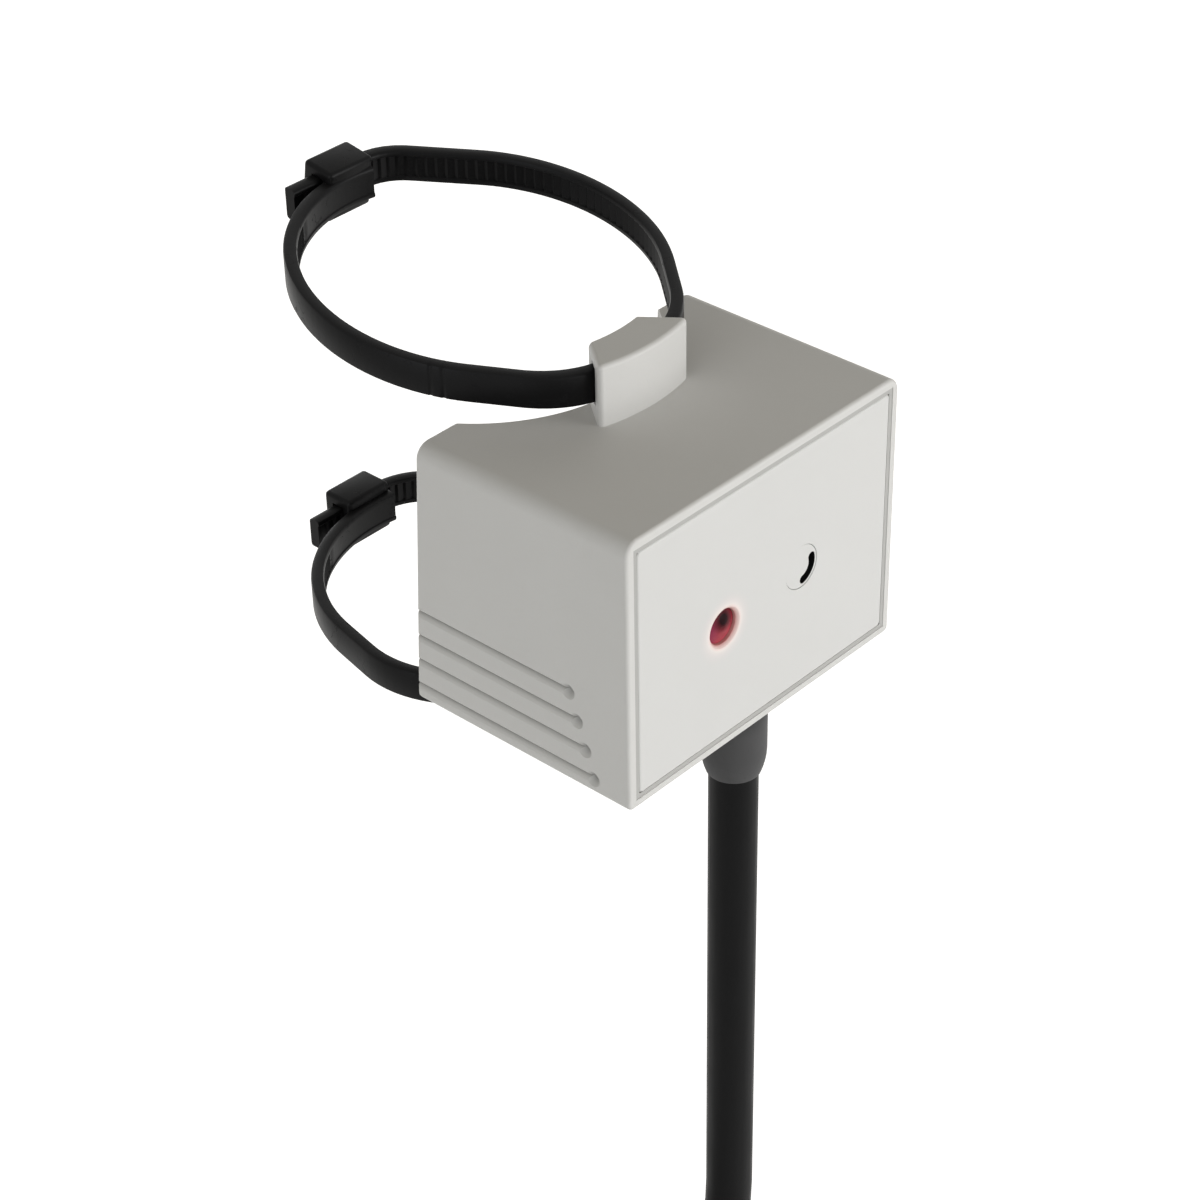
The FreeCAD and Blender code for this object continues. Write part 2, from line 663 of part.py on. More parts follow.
def make_cover(model):
    size = model.size
    body = model.body("front_cover")
    inset, step = "2 * rim - 2 * cover_gap", "2 * cover_step"
    pad(body, "flange", add_rectangle(
        new_sketch(body, "flange_outline", "XZ_Plane", z="cover_back"),
        "housing_width - %s" % inset, "housing_height - %s" % inset),
        "cover_thickness - cover_step_depth")
    panel = pad(body, "panel", add_rectangle(
        new_sketch(body, "panel_outline", "XZ_Plane", z="cover_back"),
        "housing_width - %s - %s" % (inset, step), "housing_height - %s - %s" % (inset, step)),
        "cover_thickness")
    panel = dress(body, "Fillet", "panel_corners", panel,
                  lambda e: along(e, V(0, 1, 0)) and e.Length < size("cover_step_depth") + 0.01,
                  Radius="cover_corner")
    dress(body, "Fillet", "panel_edges", panel, lambda e: in_plane(e, "y", -size("front_reach")),
          Radius="cover_edge")
    boss = add_circle(new_sketch(body, "boss_outline", "XZ_Plane", x="adjuster_right", y="adjuster_rise",
                                 z="cover_back - adjuster_boss_length"),
                      "adjuster_hole_radius + adjuster_boss_wall")
    pad(body, "boss", boss, "adjuster_boss_length + cover_thickness / 2")
    for name, right, up, radius in (
            ("adjuster_hole", "adjuster_right", "adjuster_rise", "adjuster_hole_radius"),
            ("lamp_hole", "-lamp_left", "-lamp_drop", "lamp_hole_radius")):
        sketch = new_sketch(body, name + "_outline", "XZ_Plane", x=right, y=up)
        add_circle(sketch, radius)
        cut = pocket(body, name, sketch, "2 * front_reach", symmetric=True)

    def lamp_mouth(edge):
        centre = edge.BoundBox.Center
        return in_plane(edge, "y", -size("front_reach")) and near(centre.x, -size("lamp_left"))

    dress(body, "Chamfer", "lamp_bevel", cut, lamp_mouth, Size="lamp_hole_bevel")
    return body


def make_gasket(model):
    """Flat seal between the cover and the ledge that it sits on."""
    body = model.body("cover_gasket")
    outer = add_rectangle(new_sketch(body, "gasket_outline", "XZ_Plane", z="rebate_floor"),
                          "housing_width - 2 * rim - 2 * gasket_side_gap",
                          "housing_height - 2 * rim - 2 * gasket_side_gap")
    pad(body, "frame", outer, "gasket_thickness")
    inner = add_rectangle(new_sketch(body, "window_outline", "XZ_Plane", z="cover_back"),
                          "2 * cavity_half_width + 2 * gasket_side_gap",
                          "2 * cavity_half_height + 2 * gasket_side_gap")
    pocket(body, "window", inner, "2 * gasket_thickness", symmetric=True)
    return body


def turned_part(model, label, points, arcs=None, x=None, y=None, z=None, facing_front=True):
    """Body turned about an axis that points out of the front, or straight up."""
    body = model.body(label)
    revolve(body, "turned", points, arcs)
    if facing_front:
        body.Placement = FreeCAD.Placement(V(0, 0, 0), FreeCAD.Rotation(V(1, 0, 0), 90))
    bind(body, Placement__Base__x=x or "0", Placement__Base__y=y or "0", Placement__Base__z=z or "0")
    model.doc.recompute()
    return body


def make_lamp_lens(model):
    """Red lens: domed barrel in the cover, a flange behind it and a rod to the lamp chip."""
    size = model.size
    barrel = size("lamp_hole_radius") - size("lamp_clearance")
    rod_back = size("board_front") + size("lamp_chip_height") + size("chip_gap")
    flange_front = size("cover_back")
    flange_back = flange_front - size("lamp_flange_thickness")
    face = size("front_reach") - size("lamp_recess")
    rise = size("lamp_dome_rise")
    ball = (barrel ** 2 + rise ** 2) / (2 * rise)
    half = math.asin(barrel / ball) / 2
    through = (ball * math.sin(half), face - ball + ball * math.cos(half))
    points = ((0, rod_back), (size("lamp_rod_radius"), rod_back), (size("lamp_rod_radius"), flange_back),
              (size("lamp_flange_radius"), flange_back), (size("lamp_flange_radius"), flange_front),
              (barrel, flange_front), (barrel, face - rise), (0, face))
    return turned_part(model, "lamp_lens", points, arcs={6: through}, x="-lamp_left", z="-lamp_drop")


def make_adjuster(model):
    """Rotor that a screwdriver turns: a round head flush with the cover and a stem to the trimmer."""
    size = model.size
    head = size("adjuster_hole_radius") - size("adjuster_clearance")
    face = size("front_reach") - size("adjuster_recess")
    shoulder = face - size("adjuster_head_length")
    stem = size("adjuster_stem_radius")
    tip = size("board_front") + size("trimmer_height") - size("trimmer_bore_depth")
    tip += size("adjuster_stem_end_gap")
    points = ((0, tip), (stem, tip), (stem, shoulder), (head, shoulder), (head, face), (0, face))
    body = model.body("adjuster_rotor")
    revolve(body, "turned", points)
    cut_pointer_slot(body)
    body.Placement = FreeCAD.Placement(V(0, 0, 0), FreeCAD.Rotation(V(1, 0, 0), 90))
    bind(body, Placement__Base__x="adjuster_right", Placement__Base__z="adjuster_rise")
    model.doc.recompute()
    return body


def cut_pointer_slot(body):
    """Curved screwdriver slot near the head's edge, with round ends."""
    sketch = new_sketch(body, "slot_outline", "XY_Plane", z="front_reach")
    middle, half = worth(sketch, "adjuster_slot_radius"), worth(sketch, "adjuster_slot_width") / 2
    start = -math.radians(worth(sketch, "adjuster_slot_below"))
    end = math.radians(worth(sketch, "adjuster_slot_above"))
    for radius in (middle + half, middle - half):
        sketch.addGeometry(arc(V(0, 0, 0), radius, start, end), False)
    for angle, turn in ((start, math.pi), (end, 0.0)):
        cap = V(math.cos(angle), math.sin(angle), 0) * middle
        sketch.addGeometry(arc(cap, half, angle + turn, angle + turn + math.pi), False)
    for side in (0, 1):
        constrain(sketch, "Coincident", side, 3, -1, 1)
    constrain(sketch, "Tangent", 2, 1, 1, 1)
    constrain(sketch, "Tangent", 2, 2, 0, 1)
    constrain(sketch, "Tangent", 3, 1, 0, 2)
    constrain(sketch, "Tangent", 3, 2, 1, 2)
    constrain(sketch, "Radius", 0, middle + half, name="outer",
              size="adjuster_slot_radius + adjuster_slot_width / 2")
    constrain(sketch, "Radius", 2, half, name="cap", size="adjuster_slot_width / 2")
    constrain(sketch, "DistanceY", 2, 3, -1, 1, middle * math.sin(-start), name="below",
              size="adjuster_slot_radius * sin(adjuster_slot_below)")
    constrain(sketch, "DistanceY", -1, 1, 3, 3, middle * math.sin(end), name="above",
              size="adjuster_slot_radius * sin(adjuster_slot_above)")
    pocket(body, "slot", sketch, "adjuster_slot_depth + adjuster_recess")


def make_adjuster_seal(model):
    """Rubber ring round the stem, in the boss behind the cover."""
    size = model.size
    inner = size("adjuster_stem_radius") + size("seal_clearance")
    outer = size("adjuster_hole_radius") - size("seal_clearance")
    section = (outer - inner) / 2
    shoulder = size("front_reach") - size("adjuster_recess") - size("adjuster_head_length")
    ring = model.doc.addObject("Part::Torus", "seal_ring")
    ring.Radius1 = inner + section
    ring.Radius2 = section
    ring.Placement = FreeCAD.Placement(
        V(size("adjuster_right"), -(shoulder - section - size("seal_clearance")), size("adjuster_rise")),
        FreeCAD.Rotation(V(1, 0, 0), 90))
    return model.keep(ring, "adjuster_seal")


def make_trimmer(model):
    """Body of the variable resistor that the adjuster turns, with its three feet."""
    body = model.body("trimmer_body")
    block = add_rectangle(new_sketch(body, "block_outline", "XZ_Plane", x="adjuster_right",
                                     y="adjuster_rise", z="board_front"), "trimmer_size", "trimmer_size")
    base = pad(body, "block", block, "trimmer_height")
    dress(body, "Chamfer", "corners", base, lambda e: along(e, V(0, 1, 0)), Size="trimmer_size / 10")
    bore = add_circle(new_sketch(body, "bore_outline", "XZ_Plane", x="adjuster_right", y="adjuster_rise",
                                 z="board_front + trimmer_height"),
                      "adjuster_stem_radius + adjuster_clearance")
    pocket(body, "bore", bore, "trimmer_bore_depth")
    for k, (right, up) in enumerate((("-trimmer_size / 4", "-trimmer_size / 2"),
                                     ("trimmer_size / 4", "-trimmer_size / 2"), ("0", "trimmer_size / 2"))):
        foot = add_rectangle(new_sketch(body, "foot_%d_outline" % k, "XZ_Plane",
                                        x="adjuster_right + %s" % right, y="adjuster_rise + %s" % up,
                                        z="board_front"), "trimmer_size / 6", "trimmer_size / 4")
        pad(body, "foot_%d" % k, foot, "trimmer_height / 8")
    return body


# Circuit board and the parts soldered to it

def make_board(model):
    body = model.body("main_board")
    outline = add_rectangle(
        new_sketch(body, "board_outline", "XZ_Plane",
                   y="board_height / 2 - board_bottom", z="board_back"),
        "2 * board_half_width", "board_height")
    pad(body, "board", outline, "board_thickness")
    return body


def on_board(model, across, up):
    """Place on the board, in millimetres, for shares of its half width and of its height."""
    size = model.size
    return size("board_half_width") * across, size("board_height") * up - size("board_bottom")


def make_lamp_chip(model):
    """Lamp chip: a carrier with a raised clear block."""
    size = model.size
    length, width, window = size("lamp_chip_length"), size("lamp_chip_width"), size("lamp_chip_window")
    half = size("lamp_chip_height") / 2
    carrier = Part.makeBox(length, half, width)
    block = Part.makeBox(window, half, width, V((length - window) / 2, -half, 0))
    shape = carrier.fuse(block).removeSplitter()
    place = V(-size("lamp_left") - length / 2, -size("board_front") - half, -size("lamp_drop") - width / 2)
    return model.feature(shape, "status_lamp", FreeCAD.Placement(place, FreeCAD.Rotation()))


def make_chips(model):
    """Packages on the board's back face, each with gull-wing leads on two sides."""
    size = model.size
    back, stand_off = -size("board_back"), size("package_stand_off")
    for name, across, up, length, height, thickness, pitch in BOARD_CHIPS:
        x, z = on_board(model, across, up)
        case = Part.makeBox(length, thickness - stand_off, height,
                            V(x - length / 2, back + stand_off, z - height / 2))
        case = case.makeFillet(size("package_edge"), [e for e in case.Edges if along(e, V(0, 1, 0))])
        pins = PINS_A_SIDE[name]
        leads = []
        for k in range(round(pins)):
            middle = x + (k - (pins - 1) / 2) * pitch
            for side in (-1, 1):
                leads.append(gull_wing(model, V(middle, back, z + side * height / 2), side, thickness / 2))
        model.feature(case.multiFuse(leads).removeSplitter(), name)


def gull_wing(model, edge, side, rise):
    """Lead that leaves the package at a height above the board and ends in a foot on it."""
    size = model.size
    thick, foot, width = size("lead_thickness"), size("lead_foot"), size("lead_width")
    profile = ((rise, -thick), (rise, foot / 2), (thick, foot / 2), (thick, foot * 1.6),
               (0, foot * 1.6), (0, foot / 2 - thick), (rise - thick, foot / 2 - thick),
               (rise - thick, -thick))
    points = [edge + V(-width / 2, up, side * out) for up, out in profile]
    return Part.Face(Part.makePolygon(points + points[:1])).extrude(V(width, 0, 0))


def make_chip_group(model, label, spots, kind):
    """Small two-ended parts on the board's back face, each with metal end caps."""
    length, thickness, height = [model.size(kind + part) for part in ("_length", "_thickness", "_height")]
    back, step = -model.size("board_back"), model.size("end_cap_step")
    cap = length / 5
    solids = []
    for x, z in [on_board(model, *spot) for spot in spots]:
        middle = Part.makeBox(length, thickness, height, V(x - length / 2, back, z - height / 2))
        caps = [Part.makeBox(cap, thickness + 2 * step, height + 2 * step,
                             V(left, back, z - height / 2 - step))
                for left in (x - length / 2, x + length / 2 - cap)]
        solids.append(middle.multiFuse(caps).removeSplitter())
    model.feature(Part.makeCompound(solids), label)


# Electrodes

def make_arc_layer(model, label, inner, thickness, width, height, holes=()):
    """Thin curved layer behind the cradle wall, with clearance holes for the pins."""
    body = model.body(label)
    outline = add_sector(new_sketch(body, "layer_outline", "XY_Plane"), inner,
                         "%s + %s" % (inner, thickness), width)
    pad(body, "layer", outline, height, symmetric=True)
    for k, (level, radius) in enumerate(holes):
        sketch = new_sketch(body, "hole_%d_outline" % k, "XZ_Plane", y=level)
        add_circle(sketch, radius)
        pocket(body, "hole_%d" % k, sketch, "2 * front_reach", symmetric=True)
    return body


def make_electrodes(model):
    make_arc_layer(model, "sense_electrode", "foil_inner", "foil_thickness", "foil_width", "foil_height")
    make_arc_layer(model, "electrode_carrier", "carrier_inner", "carrier_thickness",
                   "foil_width + 2 * carrier_margin", "foil_height + 2 * carrier_margin",
                   holes=(("-pin_level", "pin_radius + cable_fit"),))
    make_arc_layer(model, "guard_electrode", "guard_inner", "foil_thickness", "foil_width", "foil_height",
                   holes=(("-pin_level", "pin_radius + pin_clearance"),))
    for label, level, reach in (("sense_pin", "-pin_level", "foil_inner + foil_thickness"),
                                ("guard_pin", "pin_level", "guard_outer")):
        pin = model.doc.addObject("Part::Cylinder", "rod_" + label)
        pin.Placement = FreeCAD.Placement(V(0, 0, 0), FreeCAD.Rotation(V(1, 0, 0), 90))
        bind(pin, Radius="pin_radius", Height="board_back - %s" % reach.replace("+", "-"),
             Placement__Base__y="0 - ( %s )" % reach, Placement__Base__z=level)
        model.keep(pin, label)
    model.doc.recompute()


# Cable

def make_strain_relief(model):
    """Moulded bush: a flange inside the floor, a collar and a rounded shoulder down to the cable."""
    size = model.size
    bore = size("cable_radius") + size("cable_fit")
    inside = -size("cavity_half_height")
    under = -size("half_height")
    collar = size("relief_radius")
    lip = bore + size("relief_lip")
    flange = size("relief_flange_radius")
    top = inside + size("relief_flange_thickness")
    shoulder, foot = under - size("relief_collar_length"), under - size("relief_length")
    points = ((bore, top), (bore, foot), (lip, foot), (collar, shoulder), (collar, inside),
              (flange, inside), (flange, top))
    through = ((lip + collar) / 2 + size("relief_bow"), (foot + shoulder) / 2)
    return turned_part(model, "strain_relief", points, arcs={2: through}, x="cable_right",
                       y="-cable_reach", facing_front=False)


def rounded_path(points):
    """Straight runs joined by tangent arcs as large as the runs allow; returns the wire and the radii."""
    edges, radii = [], []
    start = points[0]
    for before, corner, after in zip(points, points[1:], points[2:]):
        to_before, to_after = before - corner, after - corner
        half_turn = (math.pi - to_before.getAngle(to_after)) / 2
        cut = 0.45 * min(to_before.Length, to_after.Length)
        radii.append(cut / math.tan(half_turn))
        first = corner + to_before.normalize() * cut
        last = corner + to_after.normalize() * cut
        bisector = (to_before + to_after).normalize()
        middle = corner + bisector * (radii[-1] / math.cos(half_turn) - radii[-1])
        edges.append(Part.LineSegment(start, first).toShape())
        edges.append(Part.Arc(first, middle, last).toShape())
        start = last
    edges.append(Part.LineSegment(start, points[-1]).toShape())
    return Part.Wire(edges), radii


def tube(points, radius):
    """Round tube along a path of straight runs and tangent arcs."""
    wire, radii = rounded_path([V(*p) for p in points])
    first, second = V(*points[0]), V(*points[1])
    circle = Part.Wire(Part.makeCircle(radius, first, second - first))
    solid = wire.makePipeShell([circle], True, False)
    expected = math.pi * radius ** 2 * wire.Length
    if abs(solid.Volume - expected) > 0.01 * expected:
        raise ValueError("tube volume %.1f, expected %.1f" % (solid.Volume, expected))
    return solid, radii, wire.Length


def coil_centre(model):
    """Centre of the coil: its outer layer carries on from the lead's last corner."""
    size = model.size
    join = math.radians(COIL_JOIN_ANGLE)
    left, low = LEAD_CORNERS[-1]
    return V(size("cable_right") + left - size("coil_outer_layer") * math.cos(join),
             size("coil_rim_half_width") - size("cable_radius") - size("cable_reach"),
             low - size("coil_outer_layer") * math.sin(join))


def make_cable(model):
    """Lead, coil, its tie, the tail and the bare ends of the three cores."""
    size = model.size
    right, depth = size("cable_right"), -size("cable_reach")
    route = [(right, depth, size("cable_top"))] + [(right + x, depth, z) for x, z in LEAD_CORNERS]
    lead, radii, length = tube(route, size("cable_radius"))
    print("lead length %.1f, radii %s" % (length, ["%.1f" % r for r in radii]))
    model.feature(lead, "cable_lead")
    centre = coil_centre(model)
    make_coil(model, centre)
    make_coil_tie(model, centre)
    make_cable_end(model, centre)


def make_coil(model, centre):
    """Ring that holds the turns: four beside each other inside, three in their grooves outside."""
    size = model.size
    bore, rim = size("coil_bore"), size("coil_rim")
    wide, narrow = size("coil_half_width"), size("coil_rim_half_width")
    knee = size("coil_inner_layer") + size("cable_radius") / 2
    points = ((bore, -wide), (knee, -wide), (rim, -narrow), (rim, narrow), (knee, wide), (bore, wide))
    body = model.body("cable_coil")
    ring = revolve(body, "ring", points)
    dress(body, "Chamfer", "ring_edges", ring, lambda e: e.Curve.TypeId == "Part::GeomCircle",
          Size="coil_edge")
    body.Placement = FreeCAD.Placement(centre, FreeCAD.Rotation(V(1, 0, 0), 90))


def make_coil_tie(model, centre):
    """Flat band round all the turns, at the coil's right side."""
    size = model.size
    gap, thick, width = size("coil_tie_gap"), size("coil_tie_thickness"), size("coil_tie_width")
    inner_x, outer_x = size("coil_bore") - gap, size("coil_rim") + gap
    half = size("coil_half_width") + gap
    start = centre + V(0, 0, -width / 2)
    hole = Part.makeBox(outer_x - inner_x, 2 * half, width, start + V(inner_x, -half, 0))
    band = Part.makeBox(outer_x - inner_x + 2 * thick, 2 * (half + thick), width,
                        start + V(inner_x - thick, -half - thick, 0))
    hole = hole.makeFillet(size("coil_edge"), [e for e in hole.Edges if along(e, V(0, 0, 1))])
    band = band.makeFillet(size("coil_edge") + thick, [e for e in band.Edges if along(e, V(0, 0, 1))])
    model.feature(band.cut(hole), "coil_tie")


def tail_route(model, centre):
    """The tail leaves the inner layer at the front of the coil and hangs straight down."""
    size = model.size
    radius, front = size("coil_inner_layer"), -size("coil_half_width") + size("cable_radius")
    reach = radius / math.cos(math.radians(TAIL_CORNERS[1][0] - TAIL_CORNERS[0][0]) / 2)
    route = []
    for angle, forward in TAIL_CORNERS:
        spot = math.radians(angle)
        route.append(centre + V(reach * math.cos(spot), front - forward * size("coil_pitch"),
                                reach * math.sin(spot)))
    end = V(centre.x - radius, route[-1].y, centre.z - size("tail_length") + size("cable_radius"))
    return [tuple(point) for point in route + [end]]


def make_cable_end(model, centre):
    """Tail, and the three cores that come out of its jacket."""
    size = model.size
    route = tail_route(model, centre)
    tail, radii, length = tube(route, size("cable_radius"))
    print("tail length %.1f, radii %s" % (length, ["%.1f" % r for r in radii]))
    model.feature(tail, "cable_tail")
    core = size("core_diameter") / 2
    end = V(*route[-1])
    down = (end - V(*route[-2])).normalize()
    for label, angle in (("core_brown", 90), ("core_black", 210), ("core_blue", 330)):
        out = V(math.cos(math.radians(angle)), math.sin(math.radians(angle)), 0)
        start = end + out * size("core_end_offset")
        knee = start + down * (size("core_end_length") / 2)
        tip = knee + out * size("core_end_spread") + down * (size("core_end_length") / 2)
        solid, _, _ = tube([tuple(start), tuple(knee), tuple(tip)], core)
        model.feature(solid, label)


def make_inner_wires(model):
    """The cores inside the housing, from the end of the jacket up to the board."""
    size = model.size
    core = size("core_diameter") / 2
    right, depth, low = size("cable_right"), -size("cable_reach"), size("cable_top")
    board = -size("board_front") - core
    for label, step in (("wire_brown", -1), ("wire_black", 0), ("wire_blue", 1)):
        near_side, far_side = right + step * size("wire_step"), right + step * size("wire_spread")
        start = (near_side, depth, low)
        knee = (near_side, depth, low + size("wire_knee"))
        bend = (far_side, board, low + size("wire_bend"))
        tip = (far_side, board, low + size("wire_tip"))
        solid, _, _ = tube([start, knee, bend, tip], core)
        model.feature(solid, label)


# Straps

def loop_outline(front_radius, pipe_radius, bend_radius, front_angle):
    """Closed outline of a strap face: arc at the front, a bend and a straight each side, pipe behind."""
    lean = math.acos((pipe_radius - bend_radius) / (front_radius - bend_radius))
    touch = front_angle + lean

    def at(angle, radius):
        return V(radius * math.sin(angle), -radius * math.cos(angle), 0)

    def side(sign):
        middle = at(sign * front_angle, front_radius - bend_radius)
        bend = [middle + at(sign * (front_angle + part * lean), bend_radius) for part in (0.0, 0.5, 1.0)]
        return bend, at(sign * touch, pipe_radius)

    (right_bend, right_touch), (left_bend, left_touch) = side(1), side(-1)
    edges = [
        Part.Arc(at(-front_angle, front_radius), at(0, front_radius), at(front_angle, front_radius)),
        Part.Arc(*right_bend),
        Part.LineSegment(right_bend[2], right_touch),
        Part.Arc(right_touch, at(math.pi, pipe_radius), left_touch),
        Part.LineSegment(left_touch, left_bend[2]),
        Part.Arc(*reversed(left_bend)),
    ]
    return Part.Wire([edge.toShape() for edge in edges])


def make_strap(model, label, level, tilt, front_angle):
    """One-piece tie: a flat strap round the pipe, a ratchet head behind it and the trimmed tail."""
    size = model.size
    thick, width = size("strap_thickness"), size("strap_width")
    front = size("slot_inner") + size("strap_clearance")
    bend = size("strap_bend")
    inner = loop_outline(front, size("pipe_radius"), bend, front_angle)
    outer = loop_outline(front + thick, size("pipe_radius") + thick, bend + thick, front_angle)
    tall = 4 * size("pipe_radius")
    ring = Part.Face(outer).cut(Part.Face(inner)).extrude(V(0, 0, tall))
    ring.translate(V(0, 0, level - tall / 2))
    pivot = V(0, -(front + thick / 2), level)
    turn = FreeCAD.Placement(V(0, 0, 0), FreeCAD.Rotation(V(1, 0, 0), tilt), pivot)
    slab = Part.makeBox(tall, tall, width, V(-tall / 2, -tall / 2, level - width / 2))
    slab = slab.transformGeometry(turn.toMatrix())
    head = make_strap_head(size, level).transformGeometry(turn.toMatrix())
    return model.feature(ring.common(slab).fuse(head).removeSplitter(), label)


def make_strap_head(size, level):
    """Ratchet head behind the pipe, its mouth, and the trimmed tail that comes out of its side."""
    length, depth, height = size("strap_head_length"), size("strap_head_depth"), size("strap_head_height")
    start = size("pipe_radius") + size("strap_head_start")
    head = Part.makeBox(length, depth, height, V(-length / 2, start, level - height / 2))
    head = head.makeFillet(size("strap_head_edge"), [e for e in head.Edges if along(e, V(0, 1, 0))])
    across, up, inward = size("strap_mouth_width"), size("strap_mouth_height"), size("strap_mouth_depth")
    mouth = Part.makeBox(across, inward, up, V(-across / 2, start + depth - inward, level - up / 2))
    reach, width = length / 2 + size("strap_tail_length"), size("strap_width")
    tail = Part.makeBox(reach, size("strap_tail_thickness"), width,
                        V(-reach, size("pipe_radius") + size("strap_tail_start"), level - width / 2))
    return head.cut(mouth).fuse(tail)


def make_straps(model):
    size = model.size
    clear = math.radians(size("strap_bend_angle"))
    web_end = (size("bridge_seat_width") + size("bridge_splay") * size("web_thickness")) / 2
    upper_angle = math.asin(web_end / size("slot_inner")) + clear
    make_strap(model, "upper_strap", size("upper_strap_mid"), size("upper_strap_tilt"), upper_angle)
    middle = (size("slot_inner") + size("slot_outer")) / 2
    lower_angle = math.acos(size("low_back_reach") / middle) + clear
    make_strap(model, "lower_strap", size("lower_strap_mid"), 0.0, lower_angle)


def check(model):
    """Stop on any failed object, and on any sub-part with no valid shape."""
    for obj in model.doc.Objects:
        if "Invalid" in obj.State or "Error" in obj.State:
            raise ValueError("%s failed: %s" % (obj.Label, obj.State))
    for part in model.parts:
        if part.Shape.isNull() or not part.Shape.isValid() or not part.Shape.Solids:
            raise ValueError(part.Label + " has no valid solid")


def main():
    model = Model()
    make_housing(model)
    make_cover(model)
    make_gasket(model)
    make_lamp_lens(model)
    make_adjuster(model)
    make_adjuster_seal(model)
    make_trimmer(model)
    make_board(model)
    make_lamp_chip(model)
    make_chips(model)
    make_chip_group(model, "board_capacitors", CAPACITORS, "capacitor")
    make_chip_group(model, "board_resistors", RESISTORS, "resistor")
    make_electrodes(model)
    make_strain_relief(model)
    make_cable(model)
    make_inner_wires(model)
    make_straps(model)
    model.doc.recompute()
    check(model)
    os.makedirs("parts", exist_ok=True)
    for part in model.parts:
        part.Shape.exportStep("parts/%s.step" % part.Label)
    print("%d parts" % len(model.parts))


main()
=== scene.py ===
"""Studio picture of a capacitive level sensor with its two ties and its cable.

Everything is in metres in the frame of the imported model: origin on the pipe's axis at half
the housing's height, +Z up, the flat front facing -Y. Sizes that repeat the model's own are
written in millimetres and turned into metres once, by mm().
"""

import logging
import math
from dataclasses import dataclass, field
from enum import Enum
from typing import Callable

import bmesh
import bpy
from mathutils import Matrix, Vector

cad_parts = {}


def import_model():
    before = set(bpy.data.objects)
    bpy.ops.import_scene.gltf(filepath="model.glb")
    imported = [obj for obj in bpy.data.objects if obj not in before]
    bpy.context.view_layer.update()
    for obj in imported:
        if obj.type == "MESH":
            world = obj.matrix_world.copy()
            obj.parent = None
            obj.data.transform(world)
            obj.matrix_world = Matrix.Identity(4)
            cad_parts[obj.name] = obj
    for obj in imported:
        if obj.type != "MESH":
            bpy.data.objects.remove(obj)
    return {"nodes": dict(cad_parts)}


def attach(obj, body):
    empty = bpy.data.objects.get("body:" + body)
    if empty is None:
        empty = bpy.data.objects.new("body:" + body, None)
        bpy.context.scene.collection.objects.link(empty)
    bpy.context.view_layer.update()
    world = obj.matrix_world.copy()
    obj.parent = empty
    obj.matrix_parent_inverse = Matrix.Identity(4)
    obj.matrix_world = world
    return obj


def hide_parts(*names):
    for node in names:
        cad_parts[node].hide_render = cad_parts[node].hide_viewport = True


LOG = logging.getLogger("level_sensor")
ROOT = "housing"

Point = tuple[float, float, float]
Colour = tuple[float, float, float]
Mesh = bmesh.types.BMesh
WHITE = (1.0, 1.0, 1.0)


def mm(*values: float) -> Vector | float:
    """Turn millimetres into metres: one length into a float, a place's three into a Vector."""
    metres = [value / 1000.0 for value in values]
    return metres[0] if len(metres) == 1 else Vector(metres)


def later(make: Callable, *values: object) -> object:
    """A dataclass field whose default is made from these values, anew for each instance."""
    return field(default_factory=lambda: make(*values))


def grey(value: float) -> Colour:
    """A neutral colour."""
    return (value, value, value)


class Axis(Enum):
    """An axis of the model's frame, by its place in a coordinate."""

    X = 0
    Y = 1
    Z = 2


# Shader helpers

class Signal:
    """A number or a colour on its way through a node tree; a sum with it places a Math node."""

    def __init__(self, bench: "Bench", socket: bpy.types.NodeSocket) -> None:
        """Wrap an output socket of a bench's tree."""
        self.bench, self.socket = bench, socket

    def __add__(self, other: object) -> "Signal":
        """This plus another."""
        return self.bench.math("ADD", self, other)

    def __radd__(self, other: float) -> "Signal":
        """A number plus this."""
        return self.bench.math("ADD", other, self)

    def __sub__(self, other: object) -> "Signal":
        """This less another."""
        return self.bench.math("SUBTRACT", self, other)

    def __rsub__(self, other: float) -> "Signal":
        """A number less this."""
        return self.bench.math("SUBTRACT", other, self)

    def __mul__(self, other: object) -> "Signal":
        """This times another."""
        return self.bench.math("MULTIPLY", self, other)

    def __truediv__(self, other: object) -> "Signal":
        """This over another."""
        return self.bench.math("DIVIDE", self, other)

    def __pow__(self, other: float) -> "Signal":
        """This to a power."""
        return self.bench.math("POWER", self, other)

    def __gt__(self, other: float) -> "Signal":
        """1 where this is more than a number, else 0."""
        return self.bench.math("GREATER_THAN", self, other)

    def __lt__(self, other: float) -> "Signal":
        """1 where this is less than a number, else 0."""
        return self.bench.math("LESS_THAN", self, other)

    def __abs__(self) -> "Signal":
        """This without its sign."""
        return self.bench.math("ABSOLUTE", self)

    def at_least(self, other: object) -> "Signal":
        """The larger of this and another."""
        return self.bench.math("MAXIMUM", self, other)

    def clamped(self) -> "Signal":
        """This, kept between 0 and 1 by the node that works it out."""
        self.socket.node.use_clamp = True
        return self


